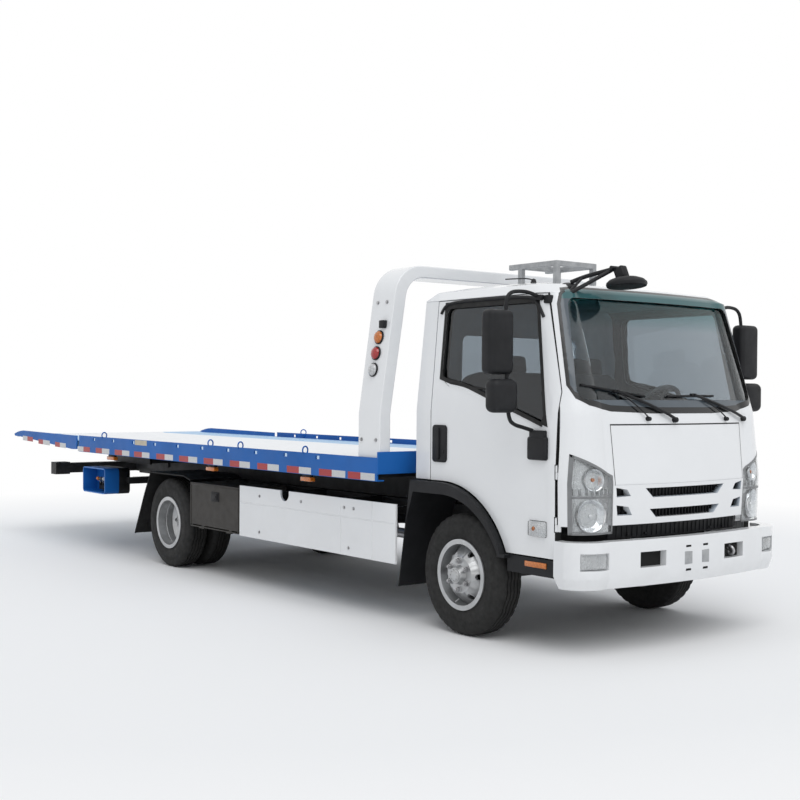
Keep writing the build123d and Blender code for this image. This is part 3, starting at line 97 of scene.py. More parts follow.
class TruckColours(bpy.types.PropertyGroup):
    body_white: colour("Cab white", "Paint of the cab, the guards and the gantry", (0.80, 0.81, 0.82))
    bed_blue: colour("Bed blue", "Paint of the bed's rails, header and tail", (0.012, 0.125, 0.44))
    deck_white: colour("Deck white", "Paint of the deck's middle", (0.84, 0.85, 0.86))
    # Deck edge: blue paint lightened by painted glare, a painted highlight.
    deck_edge: colour("Deck edge", "Paint of the deck's edge strips", (0.30, 0.50, 0.72))
    box_brown: colour("Tool box", "Paint of the tool boxes and their lids", (0.034, 0.031, 0.028))
    frame_black: colour("Chassis black", "Paint of the frames and axles", (0.012, 0.012, 0.013))
    plastic: colour("Black plastic", "Mirrors, flares, grille and trim", (0.012, 0.0125, 0.014))
    rubber: colour("Rubber", "Tyres, flaps and seals", (0.013, 0.013, 0.013))
    rim_silver: colour("Wheel silver", "Paint of the rims", (0.52, 0.53, 0.54))
    steel: colour("Steel", "Bare or plated metal", (0.46, 0.46, 0.47))
    tape_red: colour("Tape red", "Red fields of the marking tape", (0.42, 0.02, 0.025))
    amber: colour("Amber lens", "Turn lamps and side markers", (0.75, 0.20, 0.015))
    red: colour("Red lens", "Tail lamps", (0.50, 0.012, 0.014))
    glass: colour("Screen tint", "Windscreen and rear window", (0.68, 0.745, 0.78))
    side_glass: colour("Side tint", "Door windows", (0.25, 0.28, 0.31))
    shade_band: colour("Shade band", "Band along the top of the windscreen", (0.08, 0.40, 0.40))
    screen_edge: colour("Screen edge", "Tinted edge of the windscreen", (0.075, 0.092, 0.108))
    cloth: colour("Seat cloth", "Covers of the seats", (0.055, 0.057, 0.062))


class TruckSizes(bpy.types.PropertyGroup):
    edge: length("Edge rounding", "Rounding of pressed sheet edges", 0.004)
    tape_height: length("Tape height", "Height of the marking tape", 0.047)
    tread_steps: IntProperty(name="Tread steps", description="Steps round a tyre's tread", min=24, default=144)
    nut_circle: length("Nut circle", "Radius of the wheel nuts' circle", 0.089)


class StageSettings(bpy.types.PropertyGroup):
    camera_place: FloatVectorProperty(
        name="Camera place", description="Where the camera stands", subtype="TRANSLATION",
        unit="LENGTH", default=(8.848, -5.917, 1.504))
    azimuth: FloatProperty(
        name="Azimuth", description="Turn of the view from +Y towards -X", subtype="ANGLE", default=radians(51.81))
    dip: FloatProperty(
        name="Dip", description="How far the view looks down", subtype="ANGLE", default=radians(0.821))
    roll: FloatProperty(
        name="Roll", description="Turn of the picture about the view", subtype="ANGLE", default=radians(0.426))
    lens: FloatProperty(name="Lens", description="Focal length", unit="CAMERA", default=55.6)
    shift: FloatVectorProperty(
        name="Shift", description="Shift of the picture from the lens axis", size=2, default=(-0.0151, 0.0146))
    floor_radius: length("Floor radius", "Radius of the pale floor", 60.0)
    floor_fade: length("Floor fade", "Radius at which the floor has turned to the background's white", 9.0)
    sky: FloatProperty(name="Sky light", description="Strength of the even light", min=0, default=0.62)
    sun: FloatProperty(name="Sun light", description="Strength of the soft main light", min=0, default=1.35)


def colours():
    return bpy.context.scene.truck_colours


def sizes():
    return bpy.context.scene.truck_sizes


# Materials


def make_node(material, kind, settings=(), inputs=()):
    """Adds a shader node with its settings and input values."""
    made = material.node_tree.nodes.new(kind)
    for key, value in dict(settings).items():
        setattr(made, key, value)
    for key, value in dict(inputs).items():
        made.inputs[key].default_value = value
    return made


def join(material, outlet, inlet):
    material.node_tree.links.new(outlet, inlet)


def shader_of(material):
    return material.node_tree.nodes["Principled BSDF"]


def plain_finish(name, base, roughness, metallic=0.0, **sockets):
    """A Principled material with one colour, ready for layers."""
    material = bpy.data.materials.new(name)
    material.use_nodes = True
    shader = shader_of(material)
    shader.inputs["Base Color"].default_value = (*base, 1)
    shader.inputs["Roughness"].default_value = roughness
    shader.inputs["Metallic"].default_value = metallic
    for key, value in sockets.items():
        shader.inputs[key.replace("_", " ")].default_value = value
    return material


def place_coordinates(material, scale=(1, 1, 1), offset=(0, 0, 0)):
    """Object coordinates, stretched and moved."""
    source = make_node(material, "ShaderNodeTexCoord")
    mapping = make_node(material, "ShaderNodeMapping", inputs={"Scale": scale, "Location": offset})
    join(material, source.outputs["Object"], mapping.inputs["Vector"])
    return mapping.outputs["Vector"]


def noise_of(material, scale, detail=4.0, stretch=(1, 1, 1)):
    """Cloudy pattern on Object coordinates, from 0 to 1."""
    noise = make_node(material, "ShaderNodeTexNoise", inputs={"Scale": scale, "Detail": detail, "Roughness": 0.6})
    join(material, place_coordinates(material, stretch), noise.inputs["Vector"])
    return noise.outputs["Fac"]


def spread(material, outlet, low, high, to_low=0.0, to_high=1.0):
    """Maps a value from one range to another, held at its ends."""
    mapped = make_node(
        material, "ShaderNodeMapRange", {"clamp": True},
        {"From Min": low, "From Max": high, "To Min": to_low, "To Max": to_high})
    join(material, outlet, mapped.inputs["Value"])
    return mapped.outputs["Result"]


def blend_colours(material, first, second, factor):
    """Mixes two colours, each a value or an outlet, by a factor outlet."""
    mix = make_node(material, "ShaderNodeMix", {"data_type": "RGBA"})
    inlets = [socket for socket in mix.inputs if socket.type == "RGBA"]
    for inlet, value in zip(inlets, (first, second)):
        if isinstance(value, bpy.types.NodeSocket):
            join(material, value, inlet)
        else:
            inlet.default_value = (*value, 1)
    join(material, factor, mix.inputs["Factor"])
    return [socket for socket in mix.outputs if socket.type == "RGBA"][0]


def axis_of(material, axis):
    """One coordinate of a point, on Object coordinates."""
    split = make_node(material, "ShaderNodeSeparateXYZ")
    join(material, place_coordinates(material), split.inputs["Vector"])
    return split.outputs[axis]


def combine(material, operation, *outlets):
    """One or two values, put through a mathematical operation."""
    made = make_node(material, "ShaderNodeMath", {"operation": operation})
    for outlet, inlet in zip(outlets, made.inputs):
        join(material, outlet, inlet)
    return made.outputs["Value"]


def mix_shaders(owner, factor, first, second, output):
    """Leads two shaders, mixed by a factor outlet, to an output node."""
    mix = make_node(owner, "ShaderNodeMixShader")
    for outlet, inlet in zip((factor, first, second), mix.inputs):
        join(owner, outlet, inlet)
    join(owner, mix.outputs["Shader"], owner.node_tree.nodes[output].inputs["Surface"])


def raise_bumps(material, outlet, depth, strength=1.0):
    """Bumps of a given depth in metres, from a height outlet."""
    bump = make_node(material, "ShaderNodeBump", inputs={"Strength": strength, "Distance": depth})
    join(material, outlet, bump.inputs["Height"])
    join(material, bump.outputs["Normal"], shader_of(material).inputs["Normal"])


def roughen(material, scale, depth):
    """Fine cloudy bumps."""
    raise_bumps(material, noise_of(material, scale, 3.0), depth)


DUST = (0.30, 0.28, 0.25)
DUST_HEIGHTS = 0.25, 0.95  # full below the first, none above the second
DECK_STRIP = 0.60, 0.62  # distance from the middle at which the deck's blue edge begins
DECK_SCUFF = (0.45, 0.46, 0.48)
SHADE_HEIGHTS = 1.90, 2.06  # the windscreen's green band fades in between them
GLASS_IOR = 1.45


def mottled(name, base, other, scale, roughness, depth, grain, metallic=0.0, dust=0.0, **sockets):
    """A finish whose colour and gloss vary, with fine bumps and road dust near the ground."""
    material = plain_finish(name, base, roughness, metallic, **sockets)
    shader = shader_of(material)
    patches = spread(material, noise_of(material, scale), 0.38, 0.66)
    tone = blend_colours(material, base, other, patches)
    if dust:
        low = spread(material, axis_of(material, "Z"), *DUST_HEIGHTS, dust, 0.0)
        clouds = spread(material, noise_of(material, scale * 3, 6), 0.3, 0.7)
        tone = blend_colours(material, tone, DUST, combine(material, "MULTIPLY", low, clouds))
    join(material, tone, shader.inputs["Base Color"])
    gloss = spread(material, noise_of(material, scale * 2.3), 0.3, 0.7, roughness * 0.85, roughness * 1.2)
    join(material, gloss, shader.inputs["Roughness"])
    roughen(material, grain, depth)
    return material


def darker(tone, share):
    return tuple(value * share for value in tone)


def make_deck_paint():
    """White deck with light blue strips along its edges, scuffed along the driving direction. The strips' light blue
    is the deck's blue paint lightened by painted glare, a painted highlight.
    """
    c = colours()
    material = plain_finish("deck_paint", c.deck_white, 0.42)
    # Mask of the edge strips that carry the painted glare on the blue paint.
    strip = spread(material, combine(material, "ABSOLUTE", axis_of(material, "Y")), *DECK_STRIP)
    tone = blend_colours(material, c.deck_white, c.deck_edge, strip)
    scuffs = spread(material, noise_of(material, 5, 6, (0.25, 6, 1)), 0.56, 0.72, 0, 0.35)
    tone = blend_colours(material, tone, DECK_SCUFF, scuffs)
    join(material, tone, shader_of(material).inputs["Base Color"])
    roughen(material, 260, 0.0006)
    return material


def make_celled(name, tint, roughness, cells, depth, strength, fade, dark, **sockets):
    """A finish of small raised cells, darker towards their edges."""
    material = plain_finish(name, tint, roughness, **sockets)
    pattern = make_node(material, "ShaderNodeTexVoronoi", inputs={"Scale": cells})
    join(material, place_coordinates(material), pattern.inputs["Vector"])
    raise_bumps(material, pattern.outputs["Distance"], depth, strength)
    shade = spread(material, pattern.outputs["Distance"], *fade)
    tone = blend_colours(material, tint, darker(tint, dark), shade)
    join(material, tone, shader_of(material).inputs["Base Color"])
    return material


def make_tape(name, tint):
    """Reflecting tape with fine cells."""
    return make_celled(name, tint, 0.32, 260.0, 0.0006, 0.6, (0.1, 0.8), 0.75)


def make_lens(name, tint):
    """Lamp lens with pressed cells."""
    return make_celled(name, tint, 0.12, 90.0, 0.0015, 0.7, (0.0, 0.7), 0.6, Coat_Weight=0.6)


def make_pane(name, tint, band=None):
    """Tinted glass, with a green band along the windscreen's top if one is given."""
    material = plain_finish(name, tint, 0.0)
    shader = shader_of(material)
    shader.inputs["Transmission Weight"].default_value = 1.0
    shader.inputs["IOR"].default_value = GLASS_IOR
    if band:
        top = spread(material, axis_of(material, "Z"), *SHADE_HEIGHTS, 0, 0.92)
        join(material, blend_colours(material, tint, band, top), shader.inputs["Base Color"])
    return material


def make_finishes():
    """Every finish of the truck, by name.

    A mottled one lists its name, two colours, scale of the patches, roughness, depth and scale of the bumps.
    """
    c = colours()
    white = tuple(c.body_white)
    return {
        "white": mottled("white_paint", white, darker(white, 0.97), 1.7, 0.22, 0.00004, 900,
                         dust=0.10, Coat_Weight=0.5),
        "blue": mottled("bed_paint", c.bed_blue, darker(c.bed_blue, 0.85), 2.2, 0.42, 0.00004, 700,
                        Specular_IOR_Level=0.2),
        # Lighter blue for the outward rims of the control boxes: painted light, the bed's blue lifted where the light
        # falls on the face.
        "blue_edge": mottled("bed_paint_painted_light", (0.09, 0.24, 0.58), (0.07, 0.20, 0.52), 3, 0.4, 0.00004, 700,
                             Specular_IOR_Level=0.2),
        "deck": make_deck_paint(),
        "box": mottled("box_paint", c.box_brown, darker(c.box_brown, 1.2), 6, 0.46, 0.0002, 420, dust=0.04,
                       Specular_IOR_Level=0.2),
        "frame": mottled("chassis_paint", c.frame_black, darker(c.frame_black, 2.2), 5, 0.45, 0.0003, 240,
                         dust=0.12, Specular_IOR_Level=0.2),
        "plastic": mottled("grained_plastic", c.plastic, darker(c.plastic, 1.35), 8, 0.5, 0.00018, 1500,
                           Specular_IOR_Level=0.22),
        "rubber": mottled("seal_rubber", c.rubber, darker(c.rubber, 1.8), 9, 0.62, 0.0002, 800,
                          Specular_IOR_Level=0.25),
        "tyre": mottled("tyre_rubber", c.rubber, darker(c.rubber, 1.6), 14, 0.72, 0.0003, 620, dust=0.03,
                        Specular_IOR_Level=0.25),
        "rim": mottled("wheel_paint", c.rim_silver, darker(c.rim_silver, 0.8), 9, 0.34, 0.00008, 900,
                       metallic=0.75, dust=0.2),
        "steel": mottled("plated_steel", c.steel, darker(c.steel, 0.7), 11, 0.36, 0.0001, 500, metallic=0.9),
        "stand": mottled("galvanised_tube", (0.40, 0.41, 0.42), (0.30, 0.31, 0.32), 16, 0.45, 0.0001, 500,
                         metallic=0.6),
        "cast": mottled("cast_housing", (0.06, 0.06, 0.062), (0.10, 0.095, 0.09), 12, 0.6, 0.0006, 180,
                        metallic=0.3, dust=0.3),
        "chrome": mottled("chromed_rod", (0.75, 0.75, 0.76), (0.65, 0.65, 0.66), 8, 0.08, 0.00002, 900,
                          metallic=1.0),
        "mirror": plain_finish("mirror_glass", (0.80, 0.82, 0.83), 0.02, 1.0),
        "screen": make_pane("screen_glass", tuple(c.glass), tuple(c.shade_band)),
        "pane": make_pane("window_glass", tuple(c.side_glass)),
        "clear": make_pane("lamp_cover", (0.93, 0.95, 0.96)),
        "amber": make_lens("amber_lens", tuple(c.amber)),
        "red": make_lens("red_lens", tuple(c.red)),
        "lens": make_lens("clear_lens", (0.70, 0.71, 0.72)),
        "tape_red": make_tape("red_tape", tuple(c.tape_red)),
        "tape_white": make_tape("white_tape", (0.66, 0.67, 0.68)),
        "cream": mottled("cream_plate", (0.56, 0.50, 0.38), (0.48, 0.43, 0.33), 20, 0.5, 0.0001, 500),
        "dish": mottled("lamp_reflector", (0.80, 0.81, 0.82), (0.62, 0.63, 0.65), 30, 0.16, 0.0004, 160,
                        metallic=0.85),
        "housing": mottled("lamp_housing", (0.66, 0.67, 0.68), (0.58, 0.59, 0.60), 14, 0.26, 0.0001, 600,
                           metallic=0.35),
        "bezel": mottled("lamp_surround", (0.20, 0.205, 0.21), (0.17, 0.175, 0.18), 14, 0.35, 0.0001, 700),
        "cloth": mottled("seat_cloth", c.cloth, darker(c.cloth, 1.6), 60, 0.85, 0.0005, 1400, Sheen_Weight=0.3),
        "dash_top": mottled("dash_top_plastic", (0.20, 0.205, 0.205), (0.17, 0.175, 0.175), 10, 0.6, 0.0002, 1300),
        "dash": mottled("dash_plastic", (0.09, 0.092, 0.096), (0.075, 0.077, 0.08), 10, 0.55, 0.0002, 1300),
        "frit": mottled("printed_glass", (0.010, 0.011, 0.012), (0.014, 0.015, 0.016), 4, 0.16, 0.00001, 600),
        "tinted": mottled("tinted_edge", c.screen_edge, darker(c.screen_edge, 1.25), 3, 0.08, 0.00001, 600),
        "shaded": mottled("shaded_edge", (0.040, 0.115, 0.122), (0.048, 0.130, 0.138), 3, 0.08, 0.00001, 600),
        # The lining is light grey felt, lifted and blued beyond that as painted light: it stands for the sky's
        # reflection on the glass and the light the glass keeps out.
        "lining": mottled("lining_felt_painted_light", (0.56, 0.62, 0.68), (0.50, 0.56, 0.62), 12, 0.8, 0.0003, 900),
        # Painted shade: near black for the dark inside the bumper's openings.
        "void": plain_finish("painted_shade_inside", (0.004, 0.004, 0.004), 0.9),
    }


FINISH = {}
SMOOTH_TO = 35  # degrees between two faces up to which they shade as one
TRIM_LIFT, SEAL_LIFT, LINING_LIFT, BORDER_LIFT = 0.001, 0.0008, 0.0015, 0.0018  # off the skin that carries them
RAY_X, RAY_Y = 6, -3  # rays that look for a surface start out here
SAME_POINT = 2e-5


# Mesh helpers


def finish_piece(bm, name, finish, body, slot, sharp=SMOOTH_TO):
    """Turns a bmesh into a piece that rides on a body."""
    bmesh.ops.remove_doubles(bm, verts=bm.verts, dist=1e-6)
    bmesh.ops.recalc_face_normals(bm, faces=bm.faces)
    mesh = bpy.data.meshes.new(name)
    bm.to_mesh(mesh)
    bm.free()
    return seat_mesh(mesh, name, finish, body, sharp)


def seat_mesh(mesh, name, finish, body, sharp=SMOOTH_TO):
    mesh.materials.clear()
    mesh.materials.append(FINISH[finish])
    mesh.polygons.foreach_set("use_smooth", [True] * len(mesh.polygons))
    mesh.set_sharp_from_angle(angle=radians(sharp))
    piece = bpy.data.objects.new(name, mesh)
    bpy.context.scene.collection.objects.link(piece)
    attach(piece, body)
    return piece


def finish_both(body, *rows):
    """Finishes pieces for both sides, given as (bmesh, name, finish, slot), with a sharp angle where it differs. The
    slot is not used.
    """
    pieces = []
    for bm, name, finish, slot, *sharp in rows:
        mirrored(bm)
        pieces.append(finish_piece(bm, name, finish, body, slot, *sharp))
    return pieces


def round_edges(bm, edges, width, segments=2):
    bmesh.ops.bevel(
        bm, geom=list(edges), offset=width, offset_type="OFFSET", segments=segments, profile=0.5,
        affect="EDGES", clamp_overlap=True, material=-1)


def add_box(bm, low, high, rounding=0.0, segments=2, turn=None):
    """A box between two corners, rounded, then turned about its middle by a matrix if one is given."""
    low, high = Vector(low), Vector(high)
    corners = bmesh.ops.create_cube(bm, size=1.0)["verts"]
    bmesh.ops.scale(bm, vec=high - low, verts=corners)
    if turn:
        bmesh.ops.rotate(bm, matrix=turn, cent=(0, 0, 0), verts=corners)
    bmesh.ops.translate(bm, vec=(low + high) / 2, verts=corners)
    if rounding:
        round_edges(bm, {edge for corner in corners for edge in corner.link_edges}, rounding, segments)


def add_rod(bm, start, end, radius, sides=16, end_radius=None, rounding=0.0):
    """A round bar or cone between two points."""
    start, end = Vector(start), Vector(end)
    along = end - start
    turn = along.to_track_quat("Z", "Y").to_matrix().to_4x4()
    far = radius if end_radius is None else end_radius
    made = bmesh.ops.create_cone(
        bm, cap_ends=True, segments=sides, radius1=radius, radius2=far, depth=along.length,
        matrix=Matrix.Translation((start + end) / 2) @ turn)["verts"]
    if rounding:
        rims = {e for v in made for e in v.link_edges if abs((e.verts[0].co - e.verts[1].co).dot(along)) < 1e-7}
        round_edges(bm, rims, rounding)


def add_turned(bm, profile, centre, axis, steps, closed=False):
    """A shape turned about an axis, from (distance along it, radius) points, in a ring if closed."""
    centre, axis = Vector(centre), Vector(axis).normalized()
    across = axis.orthogonal().normalized()
    line = [bm.verts.new(centre + axis * along + across * radius) for along, radius in profile]
    edges = [bm.edges.new(pair) for pair in zip(line, line[1:])]
    if closed:
        edges.append(bm.edges.new((line[-1], line[0])))
    bmesh.ops.spin(
        bm, geom=line + edges, cent=centre, axis=axis, dvec=(0, 0, 0), angle=2 * pi, steps=steps,
        use_merge=True, use_duplicate=False)


def add_plate(bm, outline, push, rounding=0.0):
    """A flat outline of points, pushed along a vector to give it thickness."""
    face = bm.faces.new([bm.verts.new(point) for point in outline])
    made = bmesh.ops.extrude_face_region(bm, geom=[face], use_keep_orig=True)["geom"]
    moved = [item for item in made if isinstance(item, bmesh.types.BMVert)]
    bmesh.ops.translate(bm, vec=push, verts=moved)
    if rounding:
        faces = {f for v in moved for f in v.link_faces}
        round_edges(bm, {e for f in faces for e in f.edges}, rounding)


def add_band(bm, lower, upper, push):
    """A strip of sheet between two rows of points, pushed along a vector to give it thickness."""
    rows = [[bm.verts.new(point) for point in row] for row in (lower, upper)]
    strip = [bm.faces.new(corners) for corners in zip(rows[0], rows[0][1:], rows[1][1:], rows[1])]
    made = bmesh.ops.extrude_face_region(bm, geom=strip, use_keep_orig=True)["geom"]
    bmesh.ops.translate(bm, vec=push, verts=[item for item in made if isinstance(item, bmesh.types.BMVert)])


def rounded_outline(low, high, y, radius, steps=5):
    """Points of an upright rectangle with round corners, given by its (x, z) corners."""
    points = []
    for turn, (x, z) in enumerate((
            (high[0] - radius, high[1] - radius), (low[0] + radius, high[1] - radius),
            (low[0] + radius, low[1] + radius), (high[0] - radius, low[1] + radius))):
        for step in range(steps + 1):
            angle = (turn + step / steps) * pi / 2
            points.append((x + radius * cos(angle), y, z + radius * sin(angle)))
    return points


def add_pipe(bm, points, radius, order=3, resolution=4):
    """A round tube on one smooth curve through its end points."""
    data = bpy.data.curves.new("route", "CURVE")
    data.dimensions = "3D"
    data.bevel_depth = radius
    data.bevel_resolution = resolution
    data.use_fill_caps = True
    spline = data.splines.new("NURBS")
    spline.points.add(len(points) - 1)
    for control, point in zip(spline.points, points):
        control.co = (*point, 1)
    spline.order_u = order
    spline.use_endpoint_u = True
    carrier = bpy.data.objects.new("route", data)
    bpy.context.scene.collection.objects.link(carrier)
    bpy.context.view_layer.update()
    mesh = bpy.data.meshes.new_from_object(carrier)
    bm.from_mesh(mesh)
    bpy.data.objects.remove(carrier)
    bpy.data.curves.remove(data)
    bpy.data.meshes.remove(mesh)


def mirrored(bm):
    """Copies everything in a bmesh to the truck's other side."""
    bmesh.ops.mirror(bm, geom=bm.verts[:] + bm.edges[:] + bm.faces[:], axis="Y", merge_dist=-1)


def add_ring(bm, centre, axis, radius, wire, steps=28, sides=10):
    """A round ring of wire about an axis."""
    turns = [2 * pi * index / sides for index in range(sides)]
    add_turned(bm, [(wire * sin(t), radius + wire * cos(t)) for t in turns], centre, axis, steps, closed=True)


def surface_of(*nodes):
    """Search tree over the meshes of some solids, for laying trim on them."""
    corners, faces = [], []
    for node in nodes:
        data = frame["nodes"][node].data
        first = len(corners)
        corners += [vertex.co.copy() for vertex in data.vertices]
        faces += [[first + index for index in face.vertices] for face in data.polygons]
    return BVHTree.FromPolygons(corners, faces)


def front_x(tree, y, z):
    """x of the surface that is seen first from ahead."""
    return tree.ray_cast(Vector((RAY_X, y, z)), Vector((-1, 0, 0)))[0].x


def side_y(tree, x, z):
    """y of the surface that is seen first from the right."""
    return tree.ray_cast(Vector((x, RAY_Y, z)), Vector((0, 1, 0)))[0].y


def copy_solid(node):
    """A solid's mesh, with its doubled corners joined."""
    bm = bmesh.new()
    bm.from_mesh(frame["nodes"][node].data)
    bmesh.ops.remove_doubles(bm, verts=bm.verts, dist=SAME_POINT)
    return bm


def copy_skin(node, keep, planes=()):
    """Faces of a solid whose middle and normal pass a test, cut along planes given as (point, normal)."""
    bm = copy_solid(node)
    gone = [face for face in bm.faces if not keep(face.calc_center_median(), face.normal)]
    bmesh.ops.delete(bm, geom=gone, context="FACES")
    for point, normal in planes:
        bmesh.ops.bisect_plane(
            bm, geom=bm.verts[:] + bm.edges[:] + bm.faces[:], plane_co=point, plane_no=normal, clear_outer=True)
    return bm


def thicken(bm, depth):
    """Gives an open sheet a wall behind it."""
    bmesh.ops.recalc_face_normals(bm, faces=bm.faces)
    bmesh.ops.solidify(bm, geom=bm.faces[:], thickness=depth)


def round_crown(bm):
    """Rounds the creases of the roof's outer skin widely."""
    creases = [
        e for e in bm.edges if e.is_manifold and min(v.co.z for v in e.verts) > ROOF_CREASE_Z
        and e.calc_face_angle_signed(0) > radians(8)]
    round_edges(bm, creases, ROOF_ROUNDING, 5)


def bulge_disc(bm):
    """Draws the middle of a front wheel's disc outwards."""
    for vertex in bm.verts:
        reach = Vector((vertex.co.x - FRONT_AXLE_X, vertex.co.z - TYRE_R)).length
        share = min(max((DISC_R - reach) / DISC_FLANK, 0), 1)
        vertex.co.y += (1 if vertex.co.y > 0 else -1) * DISC_BULGE * share * share * (3 - 2 * share)


ROOF_CREASE_Z, ROOF_ROUNDING = 2.155, 0.026
DISC_R, DISC_FLANK, DISC_BULGE = 0.190, 0.050, 0.042
SHARP_EDGE = radians(28)
FLAT = radians(0.6)
RESHAPES = {"cab_roof": round_crown, "front_right_rim": bulge_disc, "front_left_rim": bulge_disc}


def soften_node(node, finish, width):
    """A copy of a solid with its sharp edges rounded, standing for it."""
    bm = copy_solid(node)
    bmesh.ops.dissolve_limit(bm, angle_limit=FLAT, verts=bm.verts, edges=bm.edges)
    if node in RESHAPES:
        RESHAPES[node](bm)
    round_edges(bm, [e for e in bm.edges if e.is_manifold and e.calc_face_angle(0) > SHARP_EDGE], width)
    mesh = bpy.data.meshes.new(node + "_shell")
    bm.to_mesh(mesh)
    bm.free()
    body = frame["nodes"][node]["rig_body"]
    piece = seat_mesh(mesh, node + "_shell", finish, body)
    piece.modifiers.new("even_shading", "WEIGHTED_NORMAL").keep_sharp = True
    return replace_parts(piece, node)


def paint_node(node, finish):
    """Gives a solid a finish and leaves its shape."""
    data = frame["nodes"][node].data
    data.materials.clear()
    data.materials.append(FINISH[finish])


SOLID_FINISHES = {  # solid: (finish, share of the edge rounding; 0 leaves the solid as it is)
    "chassis_frame": ("frame", 0), "front_axle": ("frame", 0), "rear_axle": ("frame", 0),
    "leaf_springs": ("frame", 0), "drive_line": ("cast", 0), "fuel_tank": ("box", 2), "silencer": ("steel", 0),
    "side_guards": ("white", 1), "tool_boxes": ("box", 1),
    "control_boxes": ("blue", 1), "rear_lamps": ("red", 1), "cab_floor": ("frame", 0),
    "cab_rear": ("white", 1), "cab_roof": ("white", 0.6), "cab_front": ("white", 0.6),
    "hood_panel": ("white", 0.6), "grille": ("plastic", 0),
    "front_bumper": ("white", 3), "cab_glass": ("screen", 0), "dashboard": ("dash_top", 2),
    "steering_wheel": ("dash", 0), "front_mudguards": ("plastic", 1),
    "roof_frame": ("stand", 1),
    "right_door": ("white", 0.6), "left_door": ("white", 0.6),
    "right_door_glass": ("pane", 0), "left_door_glass": ("pane", 0),
    "right_knuckle": ("cast", 0), "left_knuckle": ("cast", 0),
    "front_right_rim": ("rim", 0.5), "front_left_rim": ("rim", 0.5),
    "rear_right_rims": ("rim", 0.5), "rear_left_rims": ("rim", 0.5),
    "right_box_lid": ("box", 1), "left_box_lid": ("box", 1),
    "tilt_frame": ("frame", 0), "tilt_barrels": ("frame", 0), "tilt_rods": ("chrome", 0),
    "bed_frame": ("frame", 0), "bed_bearers": ("frame", 0), "bed_deck": ("deck", 0), "front_deck": ("deck", 0),
    "bed_rails": ("blue", 0.7), "bed_header": ("blue", 0.7), "bed_tail": ("deck", 0),
    "gantry": ("white", 2), "winch": ("frame", 1), "winch_drum": ("steel", 0),
    "lift_boom": ("frame", 1), "lift_stinger": ("frame", 1),
}


class TRUCK_OT_paint_solids(bpy.types.Operator):
    """Paints every solid and rounds the edges of its pressed sheets"""
    bl_idname = "truck.paint_solids"
    bl_label = "Paint solids"

    def execute(self, context):
        FINISH.update(make_finishes())
        for node, (finish, share) in SOLID_FINISHES.items():
            if share:
                soften_node(node, finish, sizes().edge * share)
            else:
                paint_node(node, finish)
        return {"FINISHED"}


TYRE_SECTION = (  # half width and radius, from the bead to the tread's middle
    (0.079, 0.207), (0.085, 0.213), (0.0895, 0.230), (0.0935, 0.246), (0.0950, 0.249), (0.0970, 0.272),
    (0.0980, 0.296), (0.0965, 0.316), (0.0945, 0.319), (0.0935, 0.336), (0.0895, 0.351), (0.0840, 0.361),
    (0.0770, 0.3705), (0.0690, 0.3775), (0.0640, 0.3795), (0.0455, 0.3800), (0.0440, 0.3690), (0.0390, 0.3690),
    (0.0375, 0.3800), (0.0175, 0.3800), (0.0160, 0.3690), (0.0110, 0.3690), (0.0095, 0.3800),
)
TYRE_HALF_WIDTH = 0.098
TREAD_FROM_R = 0.36
GROOVES, ZIGZAG = (0.009, 0.047), 0.003  # distances from the middle of the tread, sideways step
SHOULDER, NOTCH = (0.060, 0.078), 0.982  # distances from the middle of the tread, share of the radius
WHEELS = {  # tyre solid: body that turns
    "front_right_tyre": "front_right_wheel", "front_left_tyre": "front_left_wheel",
    "rear_right_tyres": "rear_right_wheels", "rear_left_tyres": "rear_left_wheels",
}


class TRUCK_OT_build_tyres(bpy.types.Operator):
    """Turns the tyres, with zigzag grooves and notched shoulders"""
    bl_idname = "truck.build_tyres"
    bl_label = "Build tyres"

    def execute(self, context):
        for node, body in WHEELS.items():
            low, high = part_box(node)
            middles = {round(low.y + TYRE_HALF_WIDTH, 4), round(high.y - TYRE_HALF_WIDTH, 4)}
            bm = bmesh.new()
            for middle in sorted(middles):
                self.turn_tyre(bm, Vector(((low.x + high.x) / 2, middle, (low.z + high.z) / 2)))
            piece = finish_piece(bm, node + "_tread", "tyre", body, "tyre_rubber", 40)
            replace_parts(piece, node)
        return {"FINISHED"}

    def turn_tyre(self, bm, centre):
        steps = sizes().tread_steps
        profile = list(TYRE_SECTION) + [(-half, radius) for half, radius in reversed(TYRE_SECTION)]
        add_turned(bm, profile, centre, (0, 1, 0), steps, closed=True)
        pushed, pulled, notched = [], [], []
        for vertex in bm.verts:
            out = vertex.co - centre
            if abs(out.y) > TYRE_HALF_WIDTH or Vector((out.x, out.z)).length < TREAD_FROM_R:
                continue
            step = round(atan2(out.x, out.z) / (2 * pi / steps))
            if GROOVES[0] < abs(out.y) < GROOVES[1]:
                (pushed if step % 8 < 4 else pulled).append(vertex)
            elif SHOULDER[0] < abs(out.y) < SHOULDER[1] and step % 4 == 0:
                notched.append(vertex)
        bmesh.ops.translate(bm, vec=(0, ZIGZAG, 0), verts=pushed)
        bmesh.ops.translate(bm, vec=(0, -ZIGZAG, 0), verts=pulled)
        bmesh.ops.scale(bm, vec=(NOTCH, 1, NOTCH), space=Matrix.Translation(-centre), verts=notched)


